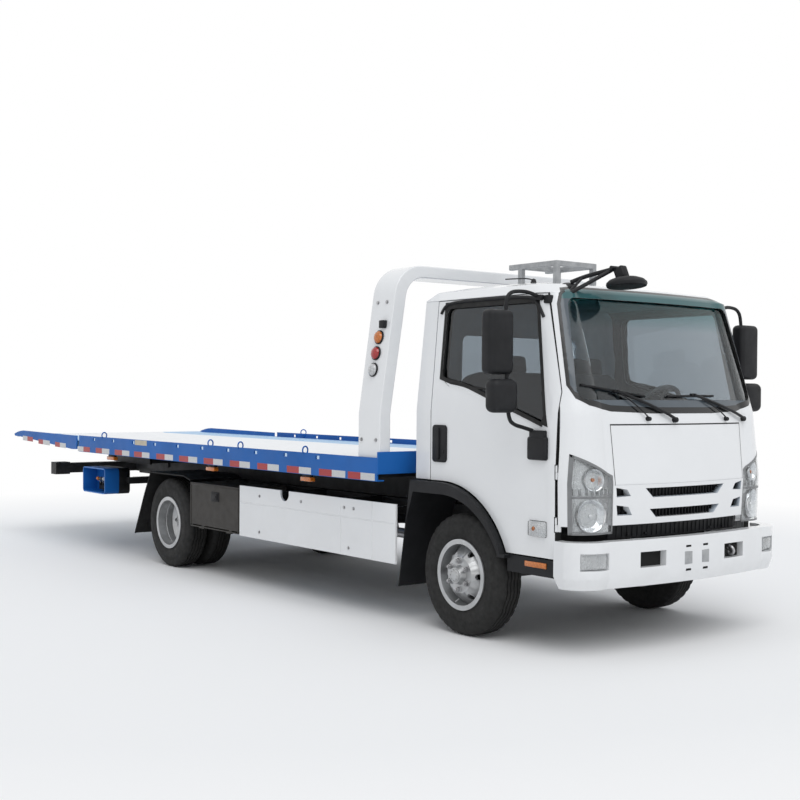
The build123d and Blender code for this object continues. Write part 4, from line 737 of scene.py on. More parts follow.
class TRUCK_OT_fit_wheels(bpy.types.Operator):
    """Sets nuts, hub caps and valves on the wheels"""
    bl_idname = "truck.fit_wheels"
    bl_label = "Fit wheels"

    NUTS = 6
    FACES = (  # axle x, y of the disc's outer face, y of the hub's end, hub cap radius, bodies' name
        (FRONT_AXLE_X, 0.890 + DISC_BULGE, 0.928 + DISC_BULGE, 0.040, "front_{}_wheel"),
        (REAR_AXLE_X, 0.783, 0.864, 0.052, "rear_{}_wheels"),
    )
    NUT_RODS = (  # from and to along the axle, radius, sides
        (-0.001, 0.005, 0.021, 24), (0.005, 0.024, 0.0165, 6), (0.024, 0.034, 0.0095, 14))
    HUB_BOLTS = 8
    LOCK_RING = (0.900, 0.194, 0.005)  # y, radius, wire

    def execute(self, context):
        for axle_x, face_y, hub_y, cap_r, body in self.FACES:
            for name, side in SIDES.items():
                self.fit(axle_x, side, face_y, hub_y, cap_r, body.format(name))
        return {"FINISHED"}

    def fit(self, axle_x, side, face_y, hub_y, cap_r, body):
        def at(x, y, z):
            return axle_x + x, side * y, TYRE_R + z

        nuts, cap = bmesh.new(), bmesh.new()
        for index in range(self.NUTS):
            turn = 2 * pi * (index + 0.5) / self.NUTS
            x, z = sizes().nut_circle * cos(turn), sizes().nut_circle * sin(turn)
            for start, end, radius, sides in self.NUT_RODS:
                add_rod(nuts, at(x, face_y + start, z), at(x, face_y + end, z), radius, sides, None, 0.0015)
        add_turned(
            cap, [(-0.004, cap_r), (0.004, cap_r), (0.008, cap_r - 0.004), (0.010, cap_r - 0.012), (0.011, 0.0)],
            at(0, hub_y, 0), (0, side, 0), 32)
        for index in range(self.HUB_BOLTS):
            turn = 2 * pi * index / self.HUB_BOLTS
            x, z = cap_r * 0.78 * cos(turn), cap_r * 0.78 * sin(turn)
            add_rod(cap, at(x, hub_y + 0.004, z), at(x, hub_y + 0.014, z), 0.005, 6)
        if body.startswith("rear"):
            y, radius, wire = self.LOCK_RING
            add_ring(cap, at(0, y, 0), (0, 1, 0), radius, wire, 72)
        add_rod(cap, at(0, face_y + 0.002, -0.150), at(0, face_y + 0.030, -0.163), 0.0045, 12)
        finish_piece(nuts, body + "_nuts", "steel", body, "steel_grey")
        finish_piece(cap, body + "_cap", "rim", body, "rim_silver")


TAPES = (  # start x, middle x, end x, height of its middle, whether the red field is the front one
    (2.050, 2.195, 2.354, 0.957, False), (1.702, 1.859, 2.019, 0.957, False), (1.287, 1.446, 1.601, 0.957, False),
    (0.877, 1.022, 1.178, 0.957, False), (0.467, 0.613, 0.768, 0.957, False), (0.052, 0.205, 0.354, 0.957, False),
    (-0.367, -0.209, -0.059, 0.957, False), (-0.781, -0.627, -0.477, 0.957, False),
    (-1.211, -1.057, -0.913, 0.957, False), (-1.607, -1.455, -1.308, 0.957, False),
    (-2.020, -1.883, -1.726, 0.957, False), (-2.430, -2.301, -2.153, 0.957, True),
    (-2.990, -2.869, -2.723, 0.976, False), (-3.424, -3.303, -3.128, 0.989, False),
    (-3.853, -3.725, -3.577, 1.010, True),
)
TAIL_X = -2.45
TAIL_LEAN, TAIL_SLOPE = radians(1.6), 0.028
TAPE_OUT, TAPE_IN = -RAIL_Y - 0.0012, -RAIL_Y + 0.001


class TRUCK_OT_trim_bed(bpy.types.Operator):
    """Lays marking tape on the rails, hangs rings and side markers on them and sets bearers below"""
    bl_idname = "truck.trim_bed"
    bl_label = "Trim bed"

    BEARER_XS, BEARER_HALF = (-2.32, -2.08, -1.84, -1.60), 0.025
    RING_XS = (1.495, 0.593, 0.124, -1.879)
    MARKERS = ((1.435, 1.563), (0.051, 0.182), (-1.819, -1.675))

    def execute(self, context):
        self.lay_tape()
        rings, markers, holders, plates, bearers = (bmesh.new() for _ in range(5))
        lip = RAIL_HIGH - 0.006
        for x in self.RING_XS:
            add_ring(rings, (x, -RAIL_Y + 0.020, lip + 0.014), (1, 0.3, 0), 0.028, 0.0055)
            add_box(
                rings, (x - 0.016, -RAIL_Y + 0.010, lip - 0.040), (x + 0.016, -RAIL_Y + 0.020, lip - 0.004), 0.003)
        for low, high in self.MARKERS:
            add_box(markers, (low, -1.098, 0.879), (high, -1.052, 0.911), 0.006, 3)
            add_box(holders, (low + 0.012, -1.088, 0.908), (high - 0.012, -1.060, 0.9315), 0.003)
        add_box(plates, (-1.196, TAPE_OUT, 1.038), (-0.965, TAPE_IN, 1.082), 0.0006, 1)
        half = self.BEARER_HALF
        for x in self.BEARER_XS:
            add_box(bearers, (x - half, -0.780, 0.845), (x + half, -0.385, DECK_TOP - 0.0075), 0.003)
        first, last = self.BEARER_XS[0] - half, self.BEARER_XS[-1] + half
        add_box(bearers, (first, -0.785, 0.835), (last, -0.760, 0.960), 0.003)
        finish_both(
            "bed", (bearers, "rear_bearers", "frame", "frame_black"), (rings, "strap_rings", "blue", "bed_blue"),
            (markers, "side_markers", "amber", "lamp_red"), (holders, "marker_holders", "plastic", "black_plastic"),
            (plates, "rail_plates", "cream", "deck_white"))
        return {"FINISHED"}

    def lay_tape(self):
        fields = {"tape_red": bmesh.new(), "tape_white": bmesh.new()}
        half = sizes().tape_height / 2
        for start, middle, end, height, red_ahead in TAPES:
            lean, slope = (TAIL_LEAN, TAIL_SLOPE) if start < TAIL_X else (0, 0)
            turn = Matrix.Rotation(lean, 3, "Y")
            for low, high, ahead in ((start, middle, False), (middle, end, True)):
                bm = fields["tape_red" if ahead == red_ahead else "tape_white"]
                z = height + (middle - (low + high) / 2) * slope
                add_box(bm, (low, TAPE_OUT, z - half), (high, TAPE_IN, z + half), 0.0006, 1, turn)
        finish_both("bed", *((bm, finish + "_fields", finish, "deck_white") for finish, bm in fields.items()))


class TRUCK_OT_light_gantry(bpy.types.Operator):
    """Sets the round lamps and bolts on the gantry's legs"""
    bl_idname = "truck.light_gantry"
    bl_label = "Light gantry"

    LAMPS = (("amber", 2.262, 1.878), ("red", 2.251, 1.772), ("lens", 2.242, 1.662))
    DOME = ((0.004, 0.042), (0.012, 0.041), (0.022, 0.036), (0.029, 0.026), (0.033, 0.013), (0.034, 0.0))
    RIM = ((-0.002, 0.047), (0.008, 0.047), (0.011, 0.045), (0.012, 0.042), (0.004, 0.040))
    SWITCH, SWITCH_HALF = (2.300, 1.964), 0.026
    BOLTS = ((2.300, 2.112), (2.200, 2.112), (2.170, 1.200), (2.330, 1.200))

    def execute(self, context):
        tree = surface_of("gantry")
        rims, bolts = bmesh.new(), bmesh.new()
        for finish, x, z in self.LAMPS:
            dome = bmesh.new()
            centre = Vector((x, side_y(tree, x, z), z))
            out = self.outward(tree, x, z)
            add_turned(dome, self.DOME, centre, out, 40)
            add_turned(rims, self.RIM, centre, out, 40)
            finish_both("bed", (dome, "gantry_lamp_" + finish, finish, "lamp_red", 50))
        x, z = self.SWITCH
        y = side_y(tree, x, z)
        half = self.SWITCH_HALF
        add_box(rims, (x - half, y - 0.030, z - half), (x + half, y + 0.004, z + half), 0.005)
        for x, z in self.BOLTS:
            centre, out = Vector((x, side_y(tree, x, z), z)), self.outward(tree, x, z)
            add_rod(bolts, centre - out * 0.002, centre + out * 0.003, 0.013, 20)
            add_rod(bolts, centre + out * 0.003, centre + out * 0.011, 0.0095, 6, None, 0.001)
        finish_both(
            "bed", (rims, "gantry_lamp_seats", "plastic", "black_plastic"),
            (bolts, "gantry_bolts", "steel", "steel_grey"))
        return {"FINISHED"}

    def outward(self, tree, x, z):
        return tree.ray_cast(Vector((x, RAY_Y, z)), Vector((0, 1, 0)))[1]


LAMP_OUTLINE = ((-0.960, 0.705), (-0.960, 1.185), (-0.880, 1.178), (-0.605, 1.042), (-0.597, 0.705))  # (y, z)
LAMP_SPLIT_Z = 0.919
LAMP_REAR_X = 3.872


def faces_ahead(middle, normal):
    return normal.x > 0.2 and middle.y < 0


def inward_from(start, end, inside):
    """Direction from the line through two points towards a third."""
    along = (end - start).normalized()
    return (inside - start - along * (inside - start).dot(along)).normalized()


def edge_strip(bm, node, keep, start, end, inside, width, lift=TRIM_LIFT):
    """Adds the strip of a solid's skin that lies along one edge of its outline, lifted off it."""
    start, end, inside = Vector(start), Vector(end), Vector(inside)
    inward = inward_from(start, end, inside)
    add_lifted(bm, copy_skin(node, keep, [(start + inward * width, inward)]), lift)


def add_lifted(bm, skin, lift, wall=0.0):
    """Adds a skin to a bmesh, moved outwards along its normals."""
    skin.normal_update()
    for vertex in skin.verts:
        vertex.co += vertex.normal * lift
    if wall:
        thicken(skin, wall)
    mesh = bpy.data.meshes.new("strip")
    skin.to_mesh(mesh)
    skin.free()
    bm.from_mesh(mesh)
    bpy.data.meshes.remove(mesh)


class TRUCK_OT_build_headlamps(bpy.types.Operator):
    """Builds the headlamps: clear covers over housings, dishes, bulbs and dividers"""
    bl_idname = "truck.build_headlamps"
    bl_label = "Build headlamps"

    DISHES = (  # y, z, radius, finish of the bulb
        (-0.748, 0.812, 0.088, "chrome"),
        (-0.735, 1.018, 0.060, "amber"),
    )
    DISH = (  # distance along its axis, share of its radius
        (-0.050, 0.0), (-0.046, 0.3), (-0.030, 0.66), (-0.010, 0.9), (0.002, 1), (0.004, 1.06), (-0.012, 1.1))
    BULB = ((-0.050, 0.012), (-0.016, 0.012), (-0.008, 0.009), (-0.005, 0.0))
    BORDER = ((2, 3, 0.016), (3, 4, 0.010), (4, 0, 0.012))  # corners of the outline, width
    CENTRE = (0, -0.75, 0.92)
    RIBS = 7

    def execute(self, context):
        cover, housing, bezel, dishes, ribs = (bmesh.new() for _ in range(5))

        def skin(*planes):
            return copy_skin("headlamps", faces_ahead, planes)

        add_lifted(cover, skin(), 0.0, 0.003)
        add_lifted(housing, skin(), -0.040)
        corners = [(0, y, z) for y, z in LAMP_OUTLINE]
        for first, last, width in self.BORDER:
            edge_strip(bezel, "headlamps", faces_ahead, corners[first], corners[last], self.CENTRE, width)
        add_lifted(bezel, skin(((LAMP_REAR_X + 0.022, 0, 0), (1, 0, 0))), TRIM_LIFT)
        divider = [((0, 0, LAMP_SPLIT_Z + up * 0.006), (0, 0, up)) for up in (1, -1)]
        add_lifted(bezel, skin(*divider), TRIM_LIFT)
        tree = surface_of("headlamps")
        out = Vector((0.95, -0.30, 0)).normalized()
        for y, z, radius, bulb in self.DISHES:
            centre = (front_x(tree, y, z) - 0.022, y, z)
            add_turned(dishes, [(along, radius * share) for along, share in self.DISH], centre, out, 48)
            glow = bmesh.new()
            add_turned(glow, self.BULB, centre, out, 20)
            finish_both("chassis", (glow, "headlamp_bulbs_" + bulb, bulb, "lamp_clear", 50))
        for index in range(self.RIBS):
            y = -0.845 + index * 0.036
            x = front_x(tree, y, 0.948) - 0.030
            add_box(ribs, (x - 0.012, y - 0.003, 0.930), (x + 0.014, y + 0.003, 0.968), 0.001)
        covers, *_ = finish_both(
            "chassis", (cover, "headlamp_covers", "clear", "lamp_clear"),
            (housing, "headlamp_housings", "housing", "rim_silver"),
            (bezel, "headlamp_surrounds", "bezel", "black_plastic"), (dishes, "headlamp_dishes", "dish", "rim_silver"),
            (ribs, "headlamp_ribs", "housing", "rim_silver"))
        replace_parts(covers, "headlamps")
        return {"FINISHED"}


class TRUCK_OT_dress_front(bpy.types.Operator):
    """Fills the grille and the bumper's openings and hangs the wipers"""
    bl_idname = "truck.dress_front"
    bl_label = "Dress front"

    BAR_PITCH, FIN_PITCH = 0.029, 0.040
    WIPERS = (  # pivot, stay's pivot, arm's end, blade's two ends, each as (y, z) on the front
        ((-0.097, 1.361), (-0.319, 1.368), (-0.520, 1.530), (-0.300, 1.500), (-0.760, 1.565)),
        ((0.641, 1.362), (0.422, 1.363), (0.124, 1.512), (-0.110, 1.502), (0.346, 1.506)),
    )

    def execute(self, context):
        self.fill_grille()
        self.fill_bumper()
        self.hang_wipers()
        return {"FINISHED"}

    def fill_grille(self):
        bars, fins = bmesh.new(), bmesh.new()
        tree = surface_of("grille")

        def add_row(bm, count, pitch, seen_z, depth, half, low, high, rounding):
            for index in range(count):
                y = (index - (count - 1) / 2) * pitch
                x = front_x(tree, y, seen_z)
                add_box(bm, (x - 0.004, y - half, low), (x + depth, y + half, high), rounding, 1)

        add_row(bars, 39, self.BAR_PITCH, 0.86, 0.014, 0.0035, 0.775, 0.975, 0.001)
        for z in (0.83, 0.905):
            add_row(bars, 38, self.BAR_PITCH, 0.86, 0.006, 0.0146, z - 0.004, z + 0.004, 0)
        add_row(fins, 27, self.FIN_PITCH, 0.71, 0.006, 0.003, 0.676, 0.744, 0.001)
        for y in (-0.44, -0.30, 0.30, 0.44):
            x = front_x(tree, y, 0.70)
            add_rod(fins, (x, y, 0.690), (x + 0.012, y, 0.690), 0.008, 6, None, 0.001)
        finish_piece(bars, "grille_bars", "plastic", "chassis", "black_plastic")
        finish_piece(fins, "intake_fins", "plastic", "chassis", "black_plastic")

    def fill_bumper(self):
        tree = surface_of("front_bumper")
        seats, lenses, plates, marks, hook, sills = (bmesh.new() for _ in range(6))
        near, far = (Vector((front_x(tree, y, 0.56), y, 0)) for y in (-0.700, -0.893))
        middle = (near + far) / 2 + Vector((0, 0, 0.5605))
        turn = Matrix.Rotation(atan2(near.x - far.x, near.y - far.y), 3, "Z").transposed()
        for bm, back, half, rounding in (
                (seats, 0.035, (0.020, 0.0990, 0.0475), 0.006), (lenses, 0.012, (0.014, 0.0850, 0.0370), 0.010)):
            place, half = middle - turn @ Vector((back, 0, 0)), Vector(half)
            add_box(bm, place - half, place + half, rounding, 3, turn)
        y = -0.0775
        x = front_x(tree, y, 0.542)
        add_box(plates, (x - 0.010, y - 0.036, 0.503), (x + 0.0008, y + 0.036, 0.582), 0.003)
        # The slots and the opening beside the plate are flat dark boxes on the bumper: painted shade where there are
        # holes.
        for z in (0.472, 0.612):
            x = front_x(tree, y, z)
            add_box(marks, (x - 0.010, y - 0.024, z - 0.007), (x + 0.0008, y + 0.024, z + 0.007), 0.002)
        near, far = front_x(tree, -0.255, 0.555), front_x(tree, -0.490, 0.555)
        turn = Matrix.Rotation(atan2(near - far, 0.235), 3, "Z").transposed()
        middle, half = Vector(((near + far) / 2 - 0.050, -0.3725, 0.555)), Vector((0.004, 0.118, 0.056))
        add_box(marks, middle - half, middle + half, 0, 1, turn)
        x = (near + far) / 2
        add_ring(hook, (x - 0.030, 0.375, 0.552), (0, 1, 0.35), 0.026, 0.009)
        add_rod(hook, (x - 0.090, 0.375, 0.556), (x - 0.052, 0.375, 0.553), 0.011)
        tree = surface_of("front_mudguards")
        y = side_y(tree, 3.62, 0.510)
        add_box(sills, (3.557, y - 0.006, 0.497), (3.736, y + 0.002, 0.530), 0.003)
        finish_both(
            "chassis", (seats, "fog_lamp_seats", "housing", "rim_silver"),
            (lenses, "fog_lamps", "clear", "lamp_clear"),
            (plates, "bumper_windows", "stand", "steel_grey"), (sills, "sill_marks", "amber", "lamp_red"),
            (marks, "bumper_slots", "void", "black_plastic"))
        finish_piece(hook, "tow_hook", "steel", "chassis", "steel_grey")

    def hang_wipers(self):
        tree = surface_of("cab_front", "cab_glass", "hood_panel")
        bm = bmesh.new()

        def over(point, lift):
            y, z = point
            return (front_x(tree, y, z) + lift, y, z)

        for pivot, stay, end, blade_low, blade_high in self.WIPERS:
            for centre, radius in ((pivot, 0.019), (stay, 0.015)):
                add_rod(bm, over(centre, -0.010), over(centre, 0.026), radius, 20, radius * 0.8, 0.003)
            bend = (pivot[0] * 0.72 + end[0] * 0.28, pivot[1] * 0.62 + end[1] * 0.38)
            stay_bend = (stay[0] * 0.6 + end[0] * 0.4, 1.45)
            middle = ((blade_low[0] + blade_high[0]) / 2, (blade_low[1] + blade_high[1]) / 2)
            for route, lifts, radius in (
                    ((pivot, bend, end), (0.022, 0.034, 0.030), 0.009),
                    ((stay, stay_bend, end), (0.020, 0.030, 0.028), 0.004),
                    ((blade_low, middle, blade_high), (0.010, 0.016, 0.010), 0.007),
                    ((blade_low, middle, blade_high), (0.004, 0.006, 0.004), 0.004)):
                add_pipe(bm, [over(point, lift) for point, lift in zip(route, lifts)], radius)
            joint, half = Vector(over(end, 0.020)), Vector((0.012, 0.022, 0.008))
            add_box(bm, joint - half, joint + half, 0.003)
        finish_piece(bm, "wipers", "plastic", "chassis", "black_plastic", 50)


def finish_side(bm, side, name, finish, body, slot, sharp=SMOOTH_TO):
    """Finishes a piece drawn on the right side, turned over to the left where that is asked."""
    if side > 0:
        bmesh.ops.scale(bm, vec=(1, -1, 1), verts=bm.verts)
    return finish_piece(bm, name, finish, body, slot, sharp)


def frame_planes(outline, margins):
    """Planes that keep what lies inside an outline of points, moved outwards by the margins."""
    centre = sum((Vector(point) for point in outline), Vector()) / len(outline)
    planes = []
    for index, margin in enumerate(margins):
        start, end = Vector(outline[index]), Vector(outline[(index + 1) % len(outline)])
        inward = inward_from(start, end, centre)
        planes.append((start - inward * margin, -inward))
    return planes


DOOR_WINDOW = ((2.756, 0, 1.594), (2.760, 0, 2.050), (3.578, 0, 2.050), (3.713, 0, 1.325))
SCREEN_HALF = (
    (-0.640, 2.150), (-0.722, 2.138), (-0.768, 2.104), (-0.789, 2.040), (-0.833, 1.560), (-0.807, 1.485),
    (-0.739, 1.446), (-0.584, 1.411), (-0.277, 1.399))
SCREEN = [(0, y, z) for y, z in SCREEN_HALF] + [(0, -y, z) for y, z in reversed(SCREEN_HALF)]
SCREEN_FOOT_Z = 1.52
SHADE_LINE = (0, 0, 2.070)
CAB_CENTRE = Vector((3.2, 0, 1.6))


class TRUCK_OT_frame_windows(bpy.types.Operator):
    """Lays rubber round the windows, the dark border of the windscreen and the lining inside the cab"""
    bl_idname = "truck.frame_windows"
    bl_label = "Frame windows"

    SCREEN_LAYERS = (  # piece, finish, inset of the sides and the foot, lift, side of the shade line that is kept
        ("screen_border", "frit", 0, 0, TRIM_LIFT, None),
        ("screen_tinted_edge", "tinted", 0.016, 0.036, BORDER_LIFT, (0, 0, 1)),
        ("screen_shaded_edge", "shaded", 0.016, 0.036, BORDER_LIFT, (0, 0, -1)),
    )
    RUBBER_MARGINS = (0.022, 0.040, 0.022, 0.0)
    HOOD_SEAMS = (  # two ends as (y, z), width
        ((-0.592, 0.985), (-0.600, 1.338), 0.004), ((-0.600, 1.338), (0.600, 1.338), 0.008),
        ((0.600, 1.338), (0.592, 0.985), 0.004))

    def execute(self, context):
        self.border_screen()
        for name, side in SIDES.items():
            self.seal_door(name, side)
        self.draw_seams()
        # The cab's lining carries painted light in its colour: it is lifted for the reflection on the glass.
        lining = bmesh.new()
        for node in ("cab_front", "cab_rear", "cab_roof"):
            add_lifted(lining, copy_skin(node, self.faces_cabin), LINING_LIFT)
        finish_piece(lining, "cab_lining", "lining", "chassis", "dash_grey")
        return {"FINISHED"}

    def border_screen(self):
        for name, finish, side_inset, foot_inset, lift, shade_side in self.SCREEN_LAYERS:
            bm = bmesh.new()
            planes = frame_planes(SCREEN, [-foot_inset if z < SCREEN_FOOT_Z else -side_inset for _, _, z in SCREEN])
            if shade_side:
                planes.append((SHADE_LINE, shade_side))
            for node in ("cab_front", "cab_roof"):
                add_lifted(bm, copy_skin(node, self.faces_road, planes), lift)
            finish_piece(bm, name, finish, "chassis", "cab_pane")
        reveal = bmesh.new()
        add_lifted(reveal, copy_skin("cab_front", self.in_screen_reveal), TRIM_LIFT)
        finish_piece(reveal, "screen_reveal", "rubber", "chassis", "black_plastic")

    def seal_door(self, name, side):
        rubber, seal, lining = (bmesh.new() for _ in range(3))
        body = name + "_door_body"
        planes = frame_planes(DOOR_WINDOW, self.RUBBER_MARGINS)
        add_lifted(rubber, copy_skin("right_door", lambda middle, normal: normal.y < -0.5, planes), 0.003, 0.003)
        add_lifted(rubber, copy_skin("right_door", self.in_door_reveal), TRIM_LIFT)
        finish_side(rubber, side, name + "_window_rubber", "rubber", body, "black_plastic")
        add_lifted(seal, copy_skin("right_door", self.on_door_edge), SEAL_LIFT)
        finish_side(seal, side, name + "_door_seal", "rubber", body, "black_plastic")
        add_lifted(lining, copy_skin(name + "_door", self.faces_cabin), LINING_LIFT)
        finish_piece(lining, name + "_door_lining", "dash", body, "dash_grey")

    def draw_seams(self):
        seams = bmesh.new()
        for node, ahead in (("cab_front", -1), ("cab_rear", 1)):
            edge = copy_skin(node, lambda middle, normal: normal.x * ahead > 0.7 and abs(middle.y) > 0.76)
            add_lifted(seams, edge, SEAL_LIFT)
        for start, end, width in self.HOOD_SEAMS:
            edge_strip(
                seams, "hood_panel", lambda middle, normal: normal.x > 0.3, (0, *start), (0, *end), (0, 0, 1.15),
                width, 0.0006)
        finish_piece(seams, "cab_seams", "rubber", "chassis", "black_plastic")

    def faces_road(self, middle, normal):
        return normal.x > 0.12 and middle.x > 3.5

    def in_screen_reveal(self, middle, normal):
        return abs(normal.x) < 0.35 and 1.46 < middle.z < 2.09 and abs(middle.y) < 0.81 and middle.x > 3.6

    def in_door_reveal(self, middle, normal):
        return abs(normal.y) < 0.35 and 1.30 < middle.z < 2.07 and 2.74 < middle.x < 3.735

    def on_door_edge(self, middle, normal):
        return abs(normal.y) < 0.35 and abs(middle.y) > 0.76 and not self.in_door_reveal(middle, normal)

    def faces_cabin(self, middle, normal):
        inside = abs(middle.y) < 0.862 and middle.z > 0.80
        inward = normal.dot((CAB_CENTRE - middle).normalized()) > 0.35
        in_reveal = self.in_screen_reveal(middle, normal) or self.in_door_reveal(middle, normal)
        return inside and inward and not in_reveal


class TRUCK_OT_dress_doors(bpy.types.Operator):
    """Fits handles, turn lamps, window sills and rain rails on the doors"""
    bl_idname = "truck.dress_doors"
    bl_label = "Dress doors"

    HANDLE = ((2.695, 1.070), (2.832, 1.308))
    TURN_LAMP = ((3.592, 0.680), (3.736, 0.770))
    SILL = (
        (2.738, 1.660), (2.742, 1.622), (2.756, 1.598), (2.785, 1.586), (2.845, 1.575), (2.924, 1.562),
        (3.021, 1.539), (3.145, 1.499), (3.300, 1.447), (3.422, 1.407), (3.560, 1.362), (3.690, 1.318))
    SILL_RUBBER = 0.024
    SHEET_FROM_X, SHEET_TO_X = 2.78, 3.43
    POST_X = 2.735
    RAIN_RAIL = (
        (2.706, 2.020), (2.728, 2.062), (2.800, 2.088), (3.100, 2.091), (3.520, 2.089), (3.585, 2.060),
        (3.640, 1.960))
    RAIN_RAIL_TOP = 2.085
    BULB = ((0.0, 0.013), (0.005, 0.013), (0.009, 0.009), (0.011, 0.0))

    def execute(self, context):
        tree = surface_of("right_door")
        for name, side in SIDES.items():
            black, lens, bulb, seat = (bmesh.new() for _ in range(4))
            (x0, z0), (x1, z1) = self.HANDLE
            y = side_y(tree, (x0 + x1) / 2, (z0 + z1) / 2)
            add_plate(black, rounded_outline((x0, z0), (x1, z1), y + 0.012, 0.024), (0, -0.024, 0), 0.004)
            grip = rounded_outline((x0 + 0.030, z0 + 0.016), (x0 + 0.078, z1 - 0.016), y - 0.008, 0.018)
            add_plate(black, grip, (0, -0.016, 0), 0.005)
            x, z = x1 - 0.028, z0 + 0.070
            add_rod(black, (x, y - 0.006, z), (x, y - 0.016, z), 0.012, 20, None, 0.002)
            (x0, z0), (x1, z1) = self.TURN_LAMP
            y = side_y(tree, (x0 + x1) / 2, (z0 + z1) / 2)
            add_box(black, (x0 - 0.003, y - 0.003, z0 - 0.003), (x1 + 0.003, y + 0.010, z1 + 0.003), 0.006, 3)
            add_box(seat, (x0 + 0.004, y - 0.007, z0 + 0.004), (x1 - 0.004, y + 0.002, z1 - 0.004), 0.003, 2)
            add_box(lens, (x0, y - 0.020, z0), (x1, y + 0.002, z1), 0.010, 3)
            add_turned(bulb, self.BULB, (x0 + 0.045, y - 0.006, (z0 + z1) / 2), (0, -1, 0), 24)
            points = [(x, side_y(tree, x, min(z, self.RAIN_RAIL_TOP)) - 0.004, z) for x, z in self.RAIN_RAIL]
            add_pipe(black, points, 0.010)
            body = name + "_door_body"
            self.curve_sill(tree, side, name, body)
            finish_side(black, side, name + "_door_fittings", "plastic", body, "black_plastic")
            finish_side(lens, side, name + "_turn_lens", "clear", body, "lamp_clear")
            finish_side(bulb, side, name + "_turn_bulb", "amber", body, "lamp_red")
            finish_side(seat, side, name + "_turn_seat", "housing", body, "rim_silver")
        return {"FINISHED"}

    def curve_sill(self, tree, side, name, body):
        """Gives the straight sill of a door window its curve: white sheet below, rubber along it."""
        (x0, _, z0), (x1, _, z1) = DOOR_WINDOW[0], DOOR_WINDOW[3]
        sheet, rubber = bmesh.new(), bmesh.new()

        def on_door(points, depth, rise=0.0):
            return [(x, side_y(tree, self.POST_X, z + rise) + depth, z + rise) for x, z in points]

        inner = []
        for index, (x, z) in enumerate(self.SILL):
            before, *_, after = self.SILL[max(index - 1, 0):index + 2]
            along = (Vector(after) - Vector(before)).normalized() * self.SILL_RUBBER
            inner.append((x - along.y, z + along.x))
        add_band(rubber, on_door(self.SILL, 0.004), on_door(inner, 0.004), (0, -0.0085, 0))
        curve = [point for point in self.SILL if self.SHEET_FROM_X < point[0] < self.SHEET_TO_X]
        straight = [(x, z0 + (x - x0) * (z1 - z0) / (x1 - x0) - 0.012) for x, z in curve]
        add_band(sheet, on_door(straight, 0.001), on_door(curve, 0.001, 0.006), (0, -0.003, 0))
        finish_side(rubber, side, name + "_sill_rubber", "rubber", body, "black_plastic")
        finish_side(sheet, side, name + "_sill_sheet", "white", body, "body_white")


